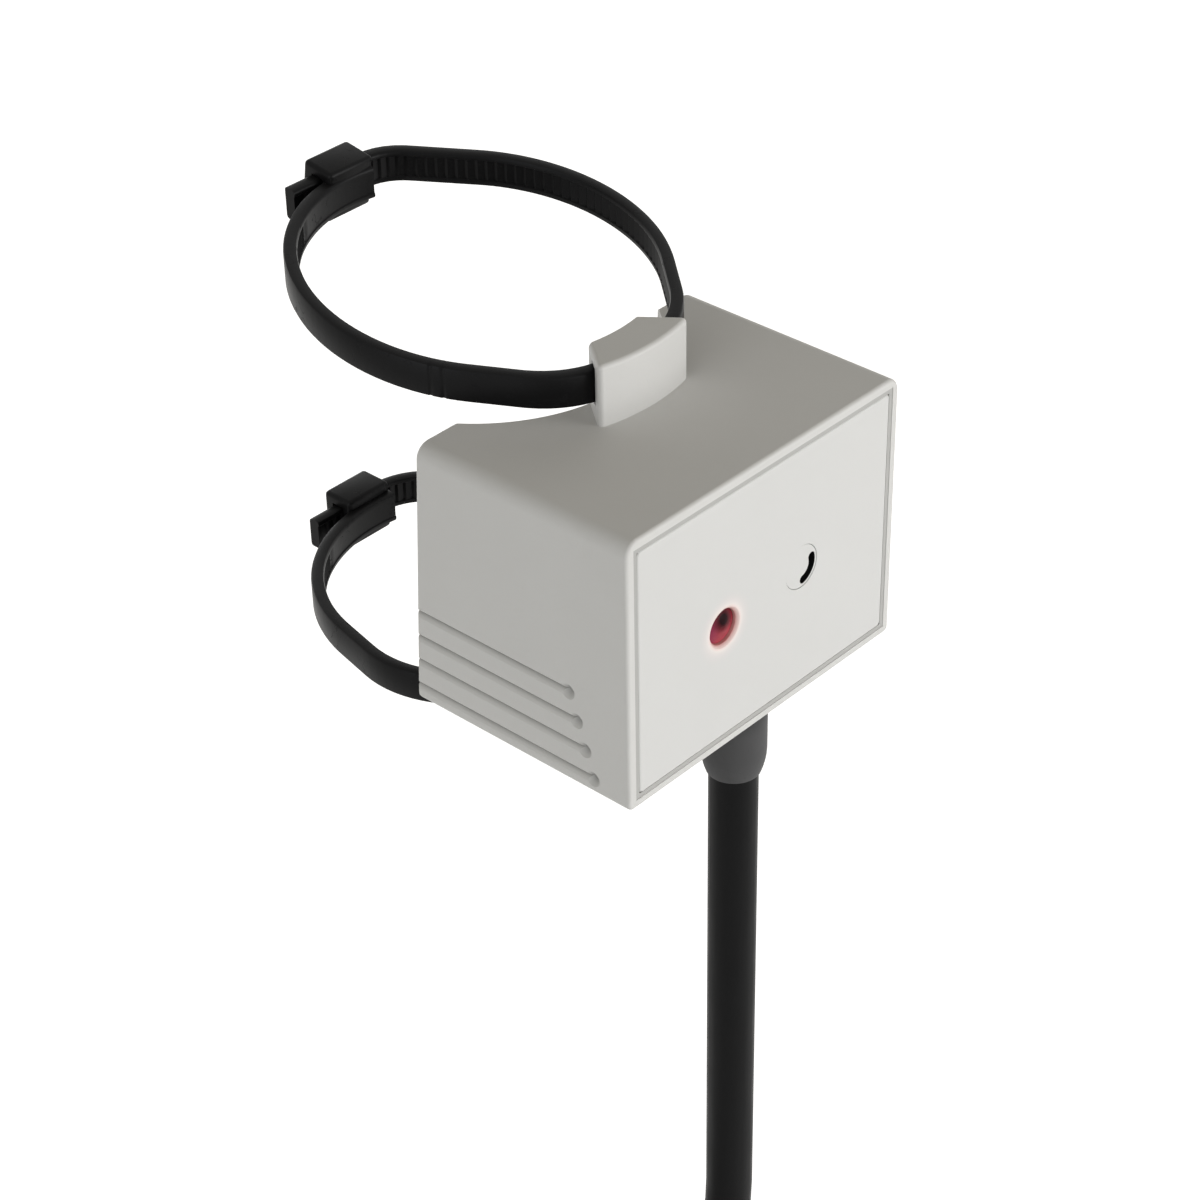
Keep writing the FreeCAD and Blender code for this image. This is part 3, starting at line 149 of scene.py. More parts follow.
class Bench:
    """Places and joins the nodes of one material, world or node group."""

    def __init__(self, tree: bpy.types.NodeTree) -> None:
        """Work on a node tree."""
        self.tree = tree

    def add(self, kind: str, values: dict | None = None, **attributes: object) -> bpy.types.Node:
        """Place a node.

        Args:
            kind: Blender's type name without the leading ShaderNode.
            values: input name or index to a number, a colour or a signal.
            **attributes: properties of the node itself.

        Returns:
            The new node.
        """
        node = self.tree.nodes.new("ShaderNode" + kind)
        for name, value in attributes.items():
            setattr(node, name, value)
        self.fill(node, values or {})
        return node

    def take(self, kind: str, values: dict | None = None, output: int | str = 0,
             **attributes: object) -> Signal:
        """Place a node, as add() does, and take one of its outputs, by its name or number."""
        return Signal(self, self.add(kind, values, **attributes).outputs[output])

    def fill(self, node: bpy.types.Node, values: dict) -> None:
        """Set or join a node's inputs.

        Args:
            node: the node.
            values: input name or index to a number, a colour or a signal.
        """
        for name, value in values.items():
            socket = node.inputs[name]
            if isinstance(value, Signal):
                self.tree.links.new(value.socket, socket)
            elif socket.type == "RGBA":
                socket.default_value = (*value, 1.0)
            else:
                socket.default_value = value

    def math(self, operation: str, first: object, second: object = 0.0) -> Signal:
        """Work out a number from one or two numbers or signals, by Blender's name of the sum."""
        return self.take("Math", {0: first, 1: second}, operation=operation)

    def blend(self, factor: object, first: object, second: object) -> Signal:
        """Mix two colours: the first where the factor is 0, the second where it is 1."""
        return self.take("Mix", {0: factor, 6: first, 7: second}, output=2, data_type="RGBA")

    def ramp(self, factor: Signal, stops: tuple[tuple[float, Colour], ...]) -> Signal:
        """Turn a number into a colour.

        Args:
            factor: the number.
            stops: places from 0 to 1 with their colours.

        Returns:
            The colour.
        """
        node = self.add("ValToRGB", {0: factor})
        elements = node.color_ramp.elements
        while len(elements) < len(stops):
            elements.new(0.5)
        for element, (place, colour) in zip(elements, stops):
            element.position = place
            element.color = (*colour, 1.0)
        return Signal(self, node.outputs[0])

    def place(self) -> Signal:
        """The point on the surface, in metres, in Object coordinates."""
        return self.take("TexCoord", output="Object")

    def along(self, axis: Axis) -> Signal:
        """One coordinate of the point on the surface."""
        return self.take("SeparateXYZ", {0: self.place()}, output=axis.value)

    def distance(self, centre: Point, reach: float) -> Signal:
        """How far the point on the surface lies from a place, seen straight from the front.

        Args:
            centre: the place.
            reach: the distance that counts as 1.

        Returns:
            The distance.
        """
        flat = self.take("VectorMath", {0: self.place(), 1: (1.0, 0.0, 1.0)}, operation="MULTIPLY")
        middle = (centre[0], 0.0, centre[2])
        return self.take("VectorMath", {0: flat, 1: middle}, output="Value", operation="DISTANCE") / reach

    def noise(self, scale: float, detail: float = 2.0, stretch: Point = (1.0, 1.0, 1.0)) -> Signal:
        """Cloudy variation from 0 to 1, by the number of clouds in a metre and of finer layers."""
        spot = self.take("Mapping", {"Vector": self.place(), "Scale": stretch})
        return self.take("TexNoise", {"Vector": spot, "Scale": scale, "Detail": detail})

    def bump(self, height: Signal, distance: float, strength: float) -> Signal:
        """The surface's normal, tilted by a height map that counts as so many metres."""
        return self.take("Bump", {"Height": height, "Distance": distance, "Strength": strength})

    def use(self, tree: bpy.types.NodeTree, **values: float) -> dict[str, Signal]:
        """Place a node group.

        Args:
            tree: the group.
            **values: the group's inputs.

        Returns:
            Its outputs by name.
        """
        node = self.tree.nodes.new("ShaderNodeGroup")
        node.node_tree = tree
        self.fill(node, values)
        return {socket.name: Signal(self, socket) for socket in node.outputs}


class Effects:
    """Node groups that several finishes share, each built once."""

    made: dict[str, bpy.types.NodeTree] = {}

    @classmethod
    def group(cls, make: Callable, **inputs: float) -> bpy.types.NodeTree:
        """The node group that a function fills, built the first time that it is asked for.

        Args:
            make: gives the group's outputs by name, from its bench and its inputs.
            **inputs: names of the number inputs with their defaults.

        Returns:
            The group.
        """
        name = make.__name__
        if name not in cls.made:
            tree = bpy.data.node_groups.new(name, "ShaderNodeTree")
            for key, value in inputs.items():
                socket = tree.interface.new_socket(name=key, in_out="INPUT",
                                                   socket_type="NodeSocketFloat")
                socket.default_value = value
            bench, given = Bench(tree), tree.nodes.new("NodeGroupInput")
            results = make(bench, *(Signal(bench, given.outputs[key]) for key in inputs))
            for key in results:
                tree.interface.new_socket(name=key, in_out="OUTPUT", socket_type="NodeSocketFloat")
            bench.fill(tree.nodes.new("NodeGroupOutput"), results)
            cls.made[name] = tree
        return cls.made[name]

    @staticmethod
    def moulded_grain(bench: Bench, size: Signal, depth: Signal) -> dict[str, Signal]:
        """Fine texture of a spark-eroded mould: soft pits of two sizes.

        Args:
            bench: the group's bench.
            size: how many pits there are in a metre.
            depth: share of the full height.

        Returns:
            The Height of the pits and the Tone of the surface.
        """
        spot = bench.place()
        fine = bench.take("TexNoise", {"Vector": spot, "Scale": size, "Detail": 3.0, "Roughness": 0.6})
        coarse = bench.take("TexVoronoi", {"Vector": spot, "Scale": size * 0.28}, feature="SMOOTH_F1")
        broad = bench.take("TexNoise", {"Vector": spot, "Scale": 160.0, "Detail": 3.0})
        return {"Height": (fine * 0.7 + coarse * 0.5) * depth, "Tone": fine * 0.35 + broad * 0.65}

    @staticmethod
    def handling_marks(bench: Bench, amount: Signal) -> dict[str, Signal]:
        """Rubbed patches and hair-fine scratches from handling.

        Args:
            bench: the group's bench.
            amount: how strong they are.

        Returns:
            The masks Rubbed and Scratch.
        """
        rubbed = ((bench.noise(95.0, 4.0) - 0.5).clamped() * 2.4).clamped()
        lines = bench.take("TexWave", {"Vector": bench.place(), "Scale": 210.0, "Distortion": 22.0,
                                       "Detail": 3.0, "Detail Scale": 1.4}, output="Fac",
                           bands_direction="DIAGONAL")
        broken = bench.noise(420.0, 2.0) > 0.56
        return {"Rubbed": rubbed * amount, "Scratch": (lines > 0.985) * broken * amount}

    @staticmethod
    def settled_dust(bench: Bench, amount: Signal) -> dict[str, Signal]:
        """Thin dust on what faces up.

        Args:
            bench: the group's bench.
            amount: how much there is.

        Returns:
            The mask Cover.
        """
        normal = bench.take("NewGeometry", output="Normal")
        facing = bench.take("SeparateXYZ", {0: normal}, output=Axis.Z.value)
        upward = facing.at_least(0.0) ** 3.0
        patchy = bench.noise(700.0, 4.0) * 0.8 + 0.3
        return {"Cover": (upward * patchy * amount).clamped()}


# Finishes

@dataclass(frozen=True)
class Finish:
    """A named finish; its shader's values are filled in by each kind of finish."""

    name: str

    def material(self) -> bpy.types.Material:
        """Build the material around a Principled shader.

        Returns:
            The material.
        """
        material = bpy.data.materials.new(self.name)
        material.use_nodes = True
        material.node_tree.nodes.clear()
        bench = Bench(material.node_tree)
        shader = bench.add("BsdfPrincipled")
        bench.add("OutputMaterial", {"Surface": Signal(bench, shader.outputs[0])})
        bench.fill(shader, self.values(bench))
        return material

    def values(self, bench: Bench) -> dict[str, object]:
        """The shader's inputs: none, for a kind that has no look of its own."""
        return {}


@dataclass(frozen=True)
class MouldedPlastic(Finish):
    """Plastic with a moulded grain, a little unevenness of tone and marks of handling."""

    colour: Colour
    shade: Colour
    roughness: float = 0.5
    grain_size: float = 4500.0
    grain_height: float = 0.000012
    grain_strength: float = 0.6
    rubbed: float = 0.5
    rubbed_gloss: float = 0.12
    scratch_dullness: float = 0.15
    dust: float = 0.0
    dust_colour: Colour = (0.62, 0.60, 0.56)
    specular: float = 0.5

    def values(self, bench: Bench) -> dict[str, object]:
        """The shader's inputs, with painted light and shade where the kind has them.

        Args:
            bench: the material's bench.

        Returns:
            Their names with their values.
        """
        grain = bench.use(Effects.group(Effects.moulded_grain, Size=4500.0, Depth=1.0),
                          Size=self.grain_size)
        marks = bench.use(Effects.group(Effects.handling_marks, Amount=1.0), Amount=self.rubbed)
        colour = bench.blend(grain["Tone"], self.shade, self.colour)
        if self.dust > 0.0:
            dust = bench.use(Effects.group(Effects.settled_dust, Amount=0.2), Amount=self.dust)
            colour = bench.blend(dust["Cover"], colour, self.dust_colour)
        gloss = self.roughness - marks["Rubbed"] * self.rubbed_gloss
        height = grain["Height"] - marks["Scratch"]
        return {"Base Color": self.painted_light_and_shade(bench, colour),
                "Roughness": gloss + marks["Scratch"] * self.scratch_dullness,
                "Normal": bench.bump(height, self.grain_height, self.grain_strength),
                "Specular IOR Level": self.specular}

    def painted_light_and_shade(self, bench: Bench, surface: Signal) -> Signal:
        """The surface's colour, with painted light and shade in places for some kinds."""
        return surface


@dataclass(frozen=True)
class SteppedPlastic(MouldedPlastic):
    """Moulded plastic with painted shade beyond a depth behind the front, where the slot lies in shade."""

    depth_y: float = 0.0
    # painted shade: near black in the slot
    painted_slot_shade: Colour = (0.01, 0.01, 0.01)

    def painted_light_and_shade(self, bench: Bench, surface: Signal) -> Signal:
        """The surface's colour, with painted shade in the slot."""
        return bench.blend(bench.along(Axis.Y) > self.depth_y, surface, self.painted_slot_shade)


@dataclass(frozen=True)
class GroovedPlastic(MouldedPlastic):
    """Moulded plastic with painted shade in the grip grooves of its two sides."""

    side: float = mm(14.5)
    groove_depth: float = mm(0.5)
    shell_share: float = 1.1
    lowest: float = mm(-10.6)
    highest: float = mm(-2.6)
    foremost: float = mm(-25.5)
    # painted shade: the colour that the grooves turn towards, more so the deeper they go
    groove_shade_colour: Colour = (0.20, 0.196, 0.187)
    groove_shade_power: float = 1.6
    amount: float = 0.68

    def painted_light_and_shade(self, bench: Bench, surface: Signal) -> Signal:
        """The surface's colour, with painted shade that is darker the deeper it lies in a groove.

        Args:
            bench: the material's bench.
            surface: the colour without it.

        Returns:
            The colour with it.
        """
        across = abs(bench.along(Axis.X))
        sunk = ((self.side - across) / self.groove_depth).clamped()
        outer = across > self.side - self.shell_share * self.groove_depth
        level = bench.along(Axis.Z)
        between = (level > self.lowest) * (level < self.highest)
        share = outer * between * (bench.along(Axis.Y) > self.foremost)
        return bench.blend(sunk ** self.groove_shade_power * share * self.amount, surface, self.groove_shade_colour)


@dataclass(frozen=True)
class PaintedLampGlowPlastic(MouldedPlastic):
    """Moulded plastic with painted light round the mouth of the lamp: the shaded mouth painted brighter,
    and a painted pink glow.
    """

    lamp: Point = (0.0, 0.0, 0.0)
    reach: float = mm(3.0)
    # painted light: the stops brighten the shaded mouth and paint a pink glow of the lamp on the cover
    glow: tuple[tuple[float, Colour], ...] = (
        (0.46, (0.62, 0.27, 0.25)), (0.52, (0.84, 0.66, 0.63)), (0.60, (0.86, 0.79, 0.77)),
        (0.68, (0.82, 0.74, 0.73)), (0.85, (0.78, 0.68, 0.68)))
    full_until: float = 0.56
    fall_off: float = 2.2
    amount: float = 0.85

    def painted_light_and_shade(self, bench: Bench, surface: Signal) -> Signal:
        """The surface's colour, with the painted glow that fades out from the lamp.

        Args:
            bench: the material's bench.
            surface: the colour without it.

        Returns:
            The colour with it.
        """
        away = bench.distance(self.lamp, self.reach)
        fade = (1.0 - (away - self.full_until) / (1.0 - self.full_until)).clamped()
        return bench.blend(fade ** self.fall_off * self.amount, surface, bench.ramp(away, self.glow))


@dataclass(frozen=True)
class ShadedRubber(MouldedPlastic):
    """Rubber with painted shade: darker at the top, under the housing, and greyer low down."""

    top: float = mm(-11.0)
    drop: float = mm(4.0)
    # painted shade: the rubber's own colour stays dark at the top under the housing and turns to this
    # lighter one low down
    unshaded_foot_colour: Colour = (0.068, 0.068, 0.070)
    unevenness: float = 0.3
    start: float = 0.15

    def painted_light_and_shade(self, bench: Bench, surface: Signal) -> Signal:
        """The surface's colour, greyer towards the foot, which leaves painted shade at the top under the
        housing.

        Args:
            bench: the material's bench.
            surface: the colour without it.

        Returns:
            The colour with it.
        """
        low = ((self.top - bench.along(Axis.Z)) / self.drop).clamped()
        uneven = low + bench.noise(380.0, 3.0) * self.unevenness
        return bench.blend((uneven - self.start).clamped(), surface, self.unshaded_foot_colour)


@dataclass(frozen=True)
class DrawnJacket(Finish):
    """Extruded cable jacket: fine lines along the cable and slow changes of sheen."""

    colour: Colour
    roughness: float = 0.48
    unevenness: float = 0.16
    rubbed: float = 0.8
    rubbed_gloss: float = 0.1
    specular: float = 0.06

    def values(self, bench: Bench) -> dict[str, object]:
        """The shader's inputs.

        Args:
            bench: the material's bench.

        Returns:
            Their names with their values.
        """
        marks = bench.use(Effects.group(Effects.handling_marks, Amount=1.0), Amount=self.rubbed)
        tone = bench.noise(260.0, 3.0)
        gloss = self.roughness - self.unevenness / 2.0 + tone * self.unevenness
        lighter = tuple(1.4 * c + 0.001 for c in self.colour)
        ripple = bench.noise(900.0, 2.0, stretch=(1.0, 1.0, 0.12))
        return {"Base Color": bench.blend(tone, self.colour, lighter),
                "Roughness": gloss - marks["Rubbed"] * self.rubbed_gloss,
                "Specular IOR Level": self.specular,
                "Normal": bench.bump(ripple, distance=0.00006, strength=0.5)}


@dataclass(frozen=True)
class LampRed(Finish):
    """Red lens with painted light and shade: a painted dark spot where the hole shades it, and painted
    light in pink below.
    """

    centre: Point
    radius: float
    painted_shade_spot: Point
    painted_shade_colour: Colour = (0.012, 0.0004, 0.0022)
    body: Colour = (0.215, 0.022, 0.034)
    painted_light_colour: Colour = (0.430, 0.068, 0.088)
    violet: Colour = (0.270, 0.055, 0.120)
    slope: float = 0.9
    bright_shift: float = 0.15
    violet_shift: float = -0.2
    dark_full: float = 1.45
    dark_fall: float = 1.75

    def values(self, bench: Bench) -> dict[str, object]:
        """The shader's inputs.

        Args:
            bench: the material's bench.

        Returns:
            Their names with their values.
        """
        drop = (self.centre[2] - bench.along(Axis.Z)) / self.radius
        left = (self.centre[0] - bench.along(Axis.X)) / self.radius
        cloudy = (bench.noise(1300.0, 3.0) - 0.5) * self.slope
        # painted light: pink where light falls on the lower part of the lens
        low = (drop * self.slope + (cloudy + self.bright_shift)).clamped()
        colour = bench.blend(low, self.body, self.painted_light_colour)
        colour = bench.blend((left * self.slope + self.violet_shift).clamped(), colour, self.violet)
        # painted shade: the dark spot where the hole shades the lens
        shade = (self.dark_full - bench.distance(self.painted_shade_spot, self.radius) * self.dark_fall).clamped()
        colour = bench.blend(shade, colour, self.painted_shade_colour)
        facets = bench.take("TexVoronoi", {"Vector": bench.place(), "Scale": 1900.0}, feature="F1")
        return {"Base Color": colour, "Emission Color": colour, "Emission Strength": 0.05,
                "Specular IOR Level": 0.04, "Roughness": low * 0.15 + 0.25,
                "Normal": bench.bump(facets, distance=0.00004, strength=0.3)}


@dataclass(frozen=True)
class SheetMetal(Finish):
    """Bare metal with a fine grain: copper foil, tinned strands, gilt pins."""

    colour: Colour
    tarnish: Colour
    roughness: float = 0.32
    unevenness: float = 0.2

    def values(self, bench: Bench) -> dict[str, object]:
        """The shader's inputs.

        Args:
            bench: the material's bench.

        Returns:
            Their names with their values.
        """
        tone = bench.noise(600.0, 5.0)
        lines = bench.noise(3200.0, 2.0, stretch=(0.1, 1.0, 1.0))
        return {"Base Color": bench.blend(tone, self.colour, self.tarnish), "Metallic": 1.0,
                "Roughness": tone * self.unevenness + (self.roughness - self.unevenness / 2.0),
                "Normal": bench.bump(lines, distance=0.00001, strength=0.4)}


@dataclass(frozen=True)
class CircuitLaminate(Finish):
    """Solder mask over copper tracks on a glass-fibre board."""

    mask: Colour = (0.012, 0.13, 0.06)
    track: Colour = (0.03, 0.24, 0.10)

    def values(self, bench: Bench) -> dict[str, object]:
        """The shader's inputs.

        Args:
            bench: the material's bench.

        Returns:
            Their names with their values.
        """
        upright = bench.take("Mapping", {"Vector": bench.place(), "Rotation": (math.radians(90), 0.0, 0.0)})
        edge = bench.take("TexBrick", {"Vector": upright, "Scale": 260.0, "Mortar Size": 0.045,
                                       "Mortar Smooth": 0.2, "Brick Width": 1.7, "Row Height": 0.3},
                          output="Fac")
        weave = bench.noise(2600.0, 1.0)
        mask = bench.blend(weave, self.mask, tuple(c * 1.25 for c in self.mask))
        return {"Base Color": bench.blend(edge, mask, self.track), "Roughness": weave * 0.15 + 0.22,
                "Normal": bench.bump(edge, distance=0.00004, strength=0.7)}


@dataclass(frozen=True)
class StagePaper(Finish):
    """White paper of the floor, lit from inside where it is seen plainly."""

    colour: Colour = grey(0.82)
    shade: Colour = grey(0.80)
    glow: float = 0.8

    def values(self, bench: Bench) -> dict[str, object]:
        """The shader's inputs.

        Args:
            bench: the material's bench.

        Returns:
            Their names with their values.
        """
        colour = bench.blend(bench.noise(8.0), self.shade, self.colour)
        return {"Base Color": colour, "Roughness": 0.9, "Emission Color": WHITE,
                "Emission Strength": seen_plainly(bench) * self.glow}


def seen_plainly(bench: Bench) -> Signal:
    """Whether a ray comes from the camera, a reflection or a view through something.

    Args:
        bench: the bench of a material or the world.

    Returns:
        0 or 1.
    """
    path = bench.add("LightPath").outputs
    camera, through, mirrored = (Signal(bench, path["Is %s Ray" % kind])
                                 for kind in ("Camera", "Transmission", "Glossy"))
    return camera.at_least(through).at_least(mirrored)


class Finishes:
    """The finishes of this sensor, each built the first time that it is asked for."""

    # housing_grey: with painted shade in the grip grooves
    housing = GroovedPlastic("housing_grey", (0.672, 0.670, 0.659), (0.632, 0.629, 0.617), dust=0.08,
                             specular=0.3)
    # cover_grey: with painted light and a painted glow round the lamp's mouth
    cover = PaintedLampGlowPlastic("cover_grey", (0.672, 0.674, 0.668), (0.642, 0.643, 0.636), roughness=0.46,
                              grain_size=5200.0, grain_height=0.000008, specular=0.3,
                              lamp=tuple(mm(-4.5, -26.7, -0.7)))
    # rotor_grey: with painted shade in the adjuster's slot
    rotor = SteppedPlastic("rotor_grey", cover.colour, cover.shade, roughness=0.46, grain_size=5200.0,
                           grain_height=0.000006, specular=0.3, depth_y=mm(-26.655),
                           painted_slot_shade=grey(0.004))
    bead = MouldedPlastic("bead_grey", (0.48, 0.48, 0.47), (0.42, 0.42, 0.41), grain_height=0.000005,
                          specular=0.2)
    carrier = MouldedPlastic("carrier_cream", (0.62, 0.58, 0.47), (0.56, 0.52, 0.42))
    tie = MouldedPlastic("tie_black", (0.0050, 0.0050, 0.0054), (0.0028, 0.0028, 0.0030), roughness=0.4,
                         grain_size=2600.0, grain_height=0.000014, rubbed=0.9, dust=0.008, specular=0.09)
    # relief_rubber: with painted shade at the top, under the housing
    relief = ShadedRubber("relief_rubber", (0.020, 0.020, 0.0205), (0.012, 0.012, 0.0125), roughness=0.6,
                          grain_size=3200.0, grain_height=0.00002, specular=0.15)
    seal = MouldedPlastic("seal_rubber", grey(0.03), grey(0.02), roughness=0.7)
    package = MouldedPlastic("package_black", (0.03, 0.03, 0.032), (0.018, 0.018, 0.02), roughness=0.55,
                             grain_size=7000.0)
    passive = MouldedPlastic("ceramic_tan", (0.42, 0.30, 0.17), (0.34, 0.24, 0.14), roughness=0.45)
    trimmer = MouldedPlastic("trimmer_blue", (0.05, 0.13, 0.36), (0.04, 0.10, 0.30), roughness=0.4)
    brown = MouldedPlastic("core_brown", (0.17, 0.065, 0.03), (0.13, 0.05, 0.022), roughness=0.38)
    black = MouldedPlastic("core_black", grey(0.022), grey(0.015), roughness=0.38)
    blue = MouldedPlastic("core_blue", (0.03, 0.10, 0.38), (0.022, 0.08, 0.30), roughness=0.38)
    jacket = DrawnJacket("jacket_black", (0.0056, 0.0056, 0.0059))
    # lamp_red: a painted dark spot of shade above and painted light in pink below
    lamp = LampRed("lamp_red", tuple(mm(-4.5, -26.5, -0.7)), mm(1.36), tuple(mm(-4.4, -26.5, -0.12)))
    copper = SheetMetal("copper_foil", (0.86, 0.50, 0.34), (0.62, 0.32, 0.20))
    tinned = SheetMetal("tinned_strand", (0.72, 0.72, 0.70), (0.55, 0.54, 0.52), roughness=0.38)
    board = CircuitLaminate("board_green")
    paper = StagePaper("floor_paper")

    built: dict[str, bpy.types.Material] = {}

    @classmethod
    def get(cls, finish: Finish) -> bpy.types.Material:
        """The material of a finish.

        Args:
            finish: the finish.

        Returns:
            Its material.
        """
        if finish.name not in cls.built:
            cls.built[finish.name] = finish.material()
        return cls.built[finish.name]


def dress(obj: bpy.types.Object, finish: Finish) -> None:
    """Give an object one finish all over.

    Args:
        obj: the object.
        finish: its finish.
    """
    material = Finishes.get(finish)
    if obj.material_slots:
        for slot in obj.material_slots:
            slot.material = material
    else:
        obj.data.materials.append(material)


def node_object(name: str) -> bpy.types.Object:
    """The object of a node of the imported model."""
    return FRAME["nodes"][name]


def dress_nodes(finishes: dict[str, Finish]) -> None:
    """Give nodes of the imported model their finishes.

    Args:
        finishes: the nodes' names with their finishes.
    """
    for name, finish in finishes.items():
        dress(node_object(name), finish)
        LOG.info("%s: %s", name, finish.name)


# Mesh helpers

# Points nearer than this are made one.
MERGE = mm(0.001)
# A face looks along an axis where its normal has more than this share of it.
FACING = 0.9


def add_object(name: str, data: bpy.types.ID) -> bpy.types.Object:
    """Put a mesh, curve, camera or lamp into the scene.

    Args:
        name: the object's name.
        data: what it holds.

    Returns:
        The object.
    """
    obj = bpy.data.objects.new(name, data)
    bpy.context.scene.collection.objects.link(obj)
    return obj


def solid_object(bm: Mesh, name: str) -> bpy.types.Object:
    """Turn a bmesh into an object of the scene, and free it.

    Args:
        bm: the bmesh, with its place in its points.
        name: the object's name.

    Returns:
        The object.
    """
    mesh = bpy.data.meshes.new(name)
    bm.to_mesh(mesh)
    bm.free()
    return add_object(name, mesh)


def publish(bm: Mesh, name: str, finish: Finish, smooth_angle: float) -> bpy.types.Object:
    """Turn a finished bmesh into a piece that rides on the housing.

    Args:
        bm: the mesh, with its place in its points.
        name: the piece's name.
        finish: its finish.
        smooth_angle: edges that turn by less than this many degrees are shaded smooth.

    Returns:
        The object.
    """
    obj = solid_object(bm, name)
    obj.data.shade_smooth()
    obj.data.set_sharp_from_angle(angle=math.radians(smooth_angle))
    dress(obj, finish)
    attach(obj, ROOT)
    LOG.info("%s: %d faces", name, len(obj.data.polygons))
    return obj


def swept_grid(stations: int, around: int, place: Callable[[int, int], Vector]) -> Mesh:
    """Bend a grid into a solid with a closed section and flat ends.

    Args:
        stations: how many sections there are along it.
        around: how many points a section has.
        place: gives the place of a point from its station and its number in the section.

    Returns:
        The solid.
    """
    bm = bmesh.new()
    bmesh.ops.create_grid(bm, x_segments=stations - 1, y_segments=around, size=0.5)
    for vert in bm.verts:
        station = round((vert.co.x + 0.5) * (stations - 1))
        vert.co = place(station, round((vert.co.y + 0.5) * around) % around)
    bmesh.ops.remove_doubles(bm, verts=bm.verts, dist=MERGE / 2.0)
    bmesh.ops.holes_fill(bm, edges=[edge for edge in bm.edges if edge.is_boundary], sides=0)
    bmesh.ops.recalc_face_normals(bm, faces=bm.faces)
    return bm


def block(low: Vector, high: Vector) -> Mesh:
    """Box between two corners.

    Args:
        low: its lowest corner.
        high: its highest corner.

    Returns:
        The box.
    """
    bm = bmesh.new()
    matrix = Matrix.Translation((low + high) / 2.0) @ Matrix.Diagonal((*(high - low), 1.0))
    bmesh.ops.create_cube(bm, size=1.0, matrix=matrix)
    return bm


def bevel_all(bm: Mesh, edges: list[bmesh.types.BMEdge], width: float, segments: int) -> None:
    """Round edges of a mesh with so many facets, as far as a width to each side."""
    bmesh.ops.bevel(bm, geom=edges, offset=width, offset_type="OFFSET", segments=segments, profile=0.5,
                    affect="EDGES", clamp_overlap=True, material=-1)


def merge_into(bm: Mesh, other: Mesh) -> None:
    """Add a mesh to another and free it.

    Args:
        bm: the mesh that grows.
        other: the mesh that is added.
    """
    mesh = bpy.data.meshes.new("part")
    other.to_mesh(mesh)
    other.free()
    bm.from_mesh(mesh)
    bpy.data.meshes.remove(mesh)


# Cable

def eased(part: float) -> float:
    """A smooth step from 0 to 1, flat outside."""
    part = min(1.0, max(0.0, part))
    return part * part * (3.0 - 2.0 * part)


@dataclass
class Winding:
    """The wound length: an outer layer of turns in the grooves of an inner one.

    Slots are counted in pitches from the coil's middle. The shift to the next slot and the drop
    to the inner layer are given as shares of a turn.
    """

    centre: Vector = later(mm, -1.97, -18.04, -103.351)
    inner_radius: float = mm(19.32)
    outer_radius: float = mm(22.68)
    pitch: float = mm(3.86)
    outer_slots: tuple[float, ...] = (-1.0, 0.0, 1.0)
    inner_slots: tuple[float, ...] = (1.5, 0.5, -0.5, -1.5)
    tail_slot: float = -2.5
    start_degrees: float = 120.0
    end_degrees: float = 60.0
    points_per_turn: int = 24
    shift_from: float = 0.78
    shift_to: float = 0.96
    layer_drop: float = 0.12
    crossing_rise: float = mm(0.42)

    def seats(self) -> list[tuple[float, float]]:
        """The radius and the slot of each turn, in the order of winding."""
        outer = [(self.outer_radius, slot) for slot in self.outer_slots]
        return outer + [(self.inner_radius, slot) for slot in (*self.inner_slots, self.tail_slot)]

    def seat_at(self, turns: float) -> tuple[float, float]:
        """Where the cable lies after so many turns.

        Args:
            turns: turns from where the lead joins.

        Returns:
            Its radius and its offset along the coil's axis.
        """
        whole = int(turns)
        radius, slot = self.seats()[whole]
        shift = eased((turns - whole - self.shift_from) / (self.shift_to - self.shift_from))
        last_outer = len(self.outer_slots) - 1
        if whole < last_outer:
            radius += self.crossing_rise * math.sin(2.0 * math.pi * shift) ** 2
        if whole <= last_outer:
            return radius, (slot + shift) * self.pitch
        if whole == last_outer + 1 and turns - whole < self.layer_drop:
            drop = eased((turns - whole) / self.layer_drop)
            sinking = self.outer_radius + drop * (radius - self.outer_radius)
            return sinking, (slot + 0.5 * (1.0 - drop)) * self.pitch
        return radius, (slot - shift) * self.pitch

    def controls(self) -> list[Vector]:
        """The turns, up to where the tail leaves at the left side.

        Returns:
            Their control points.
        """
        step = 360.0 / self.points_per_turn
        spread = math.cos(math.radians(step / 2.0))
        count = int(self.points_per_turn * (len(self.seats()) - 1) + self.end_degrees / step)
        points = []
        for index in range(count):
            turns = (index + 0.5) / self.points_per_turn
            radius, offset = self.seat_at(turns)
            angle = math.radians(self.start_degrees + turns * 360.0)
            points.append(self.centre + Vector((radius / spread * math.cos(angle), offset,
                                                radius / spread * math.sin(angle))))
        return points


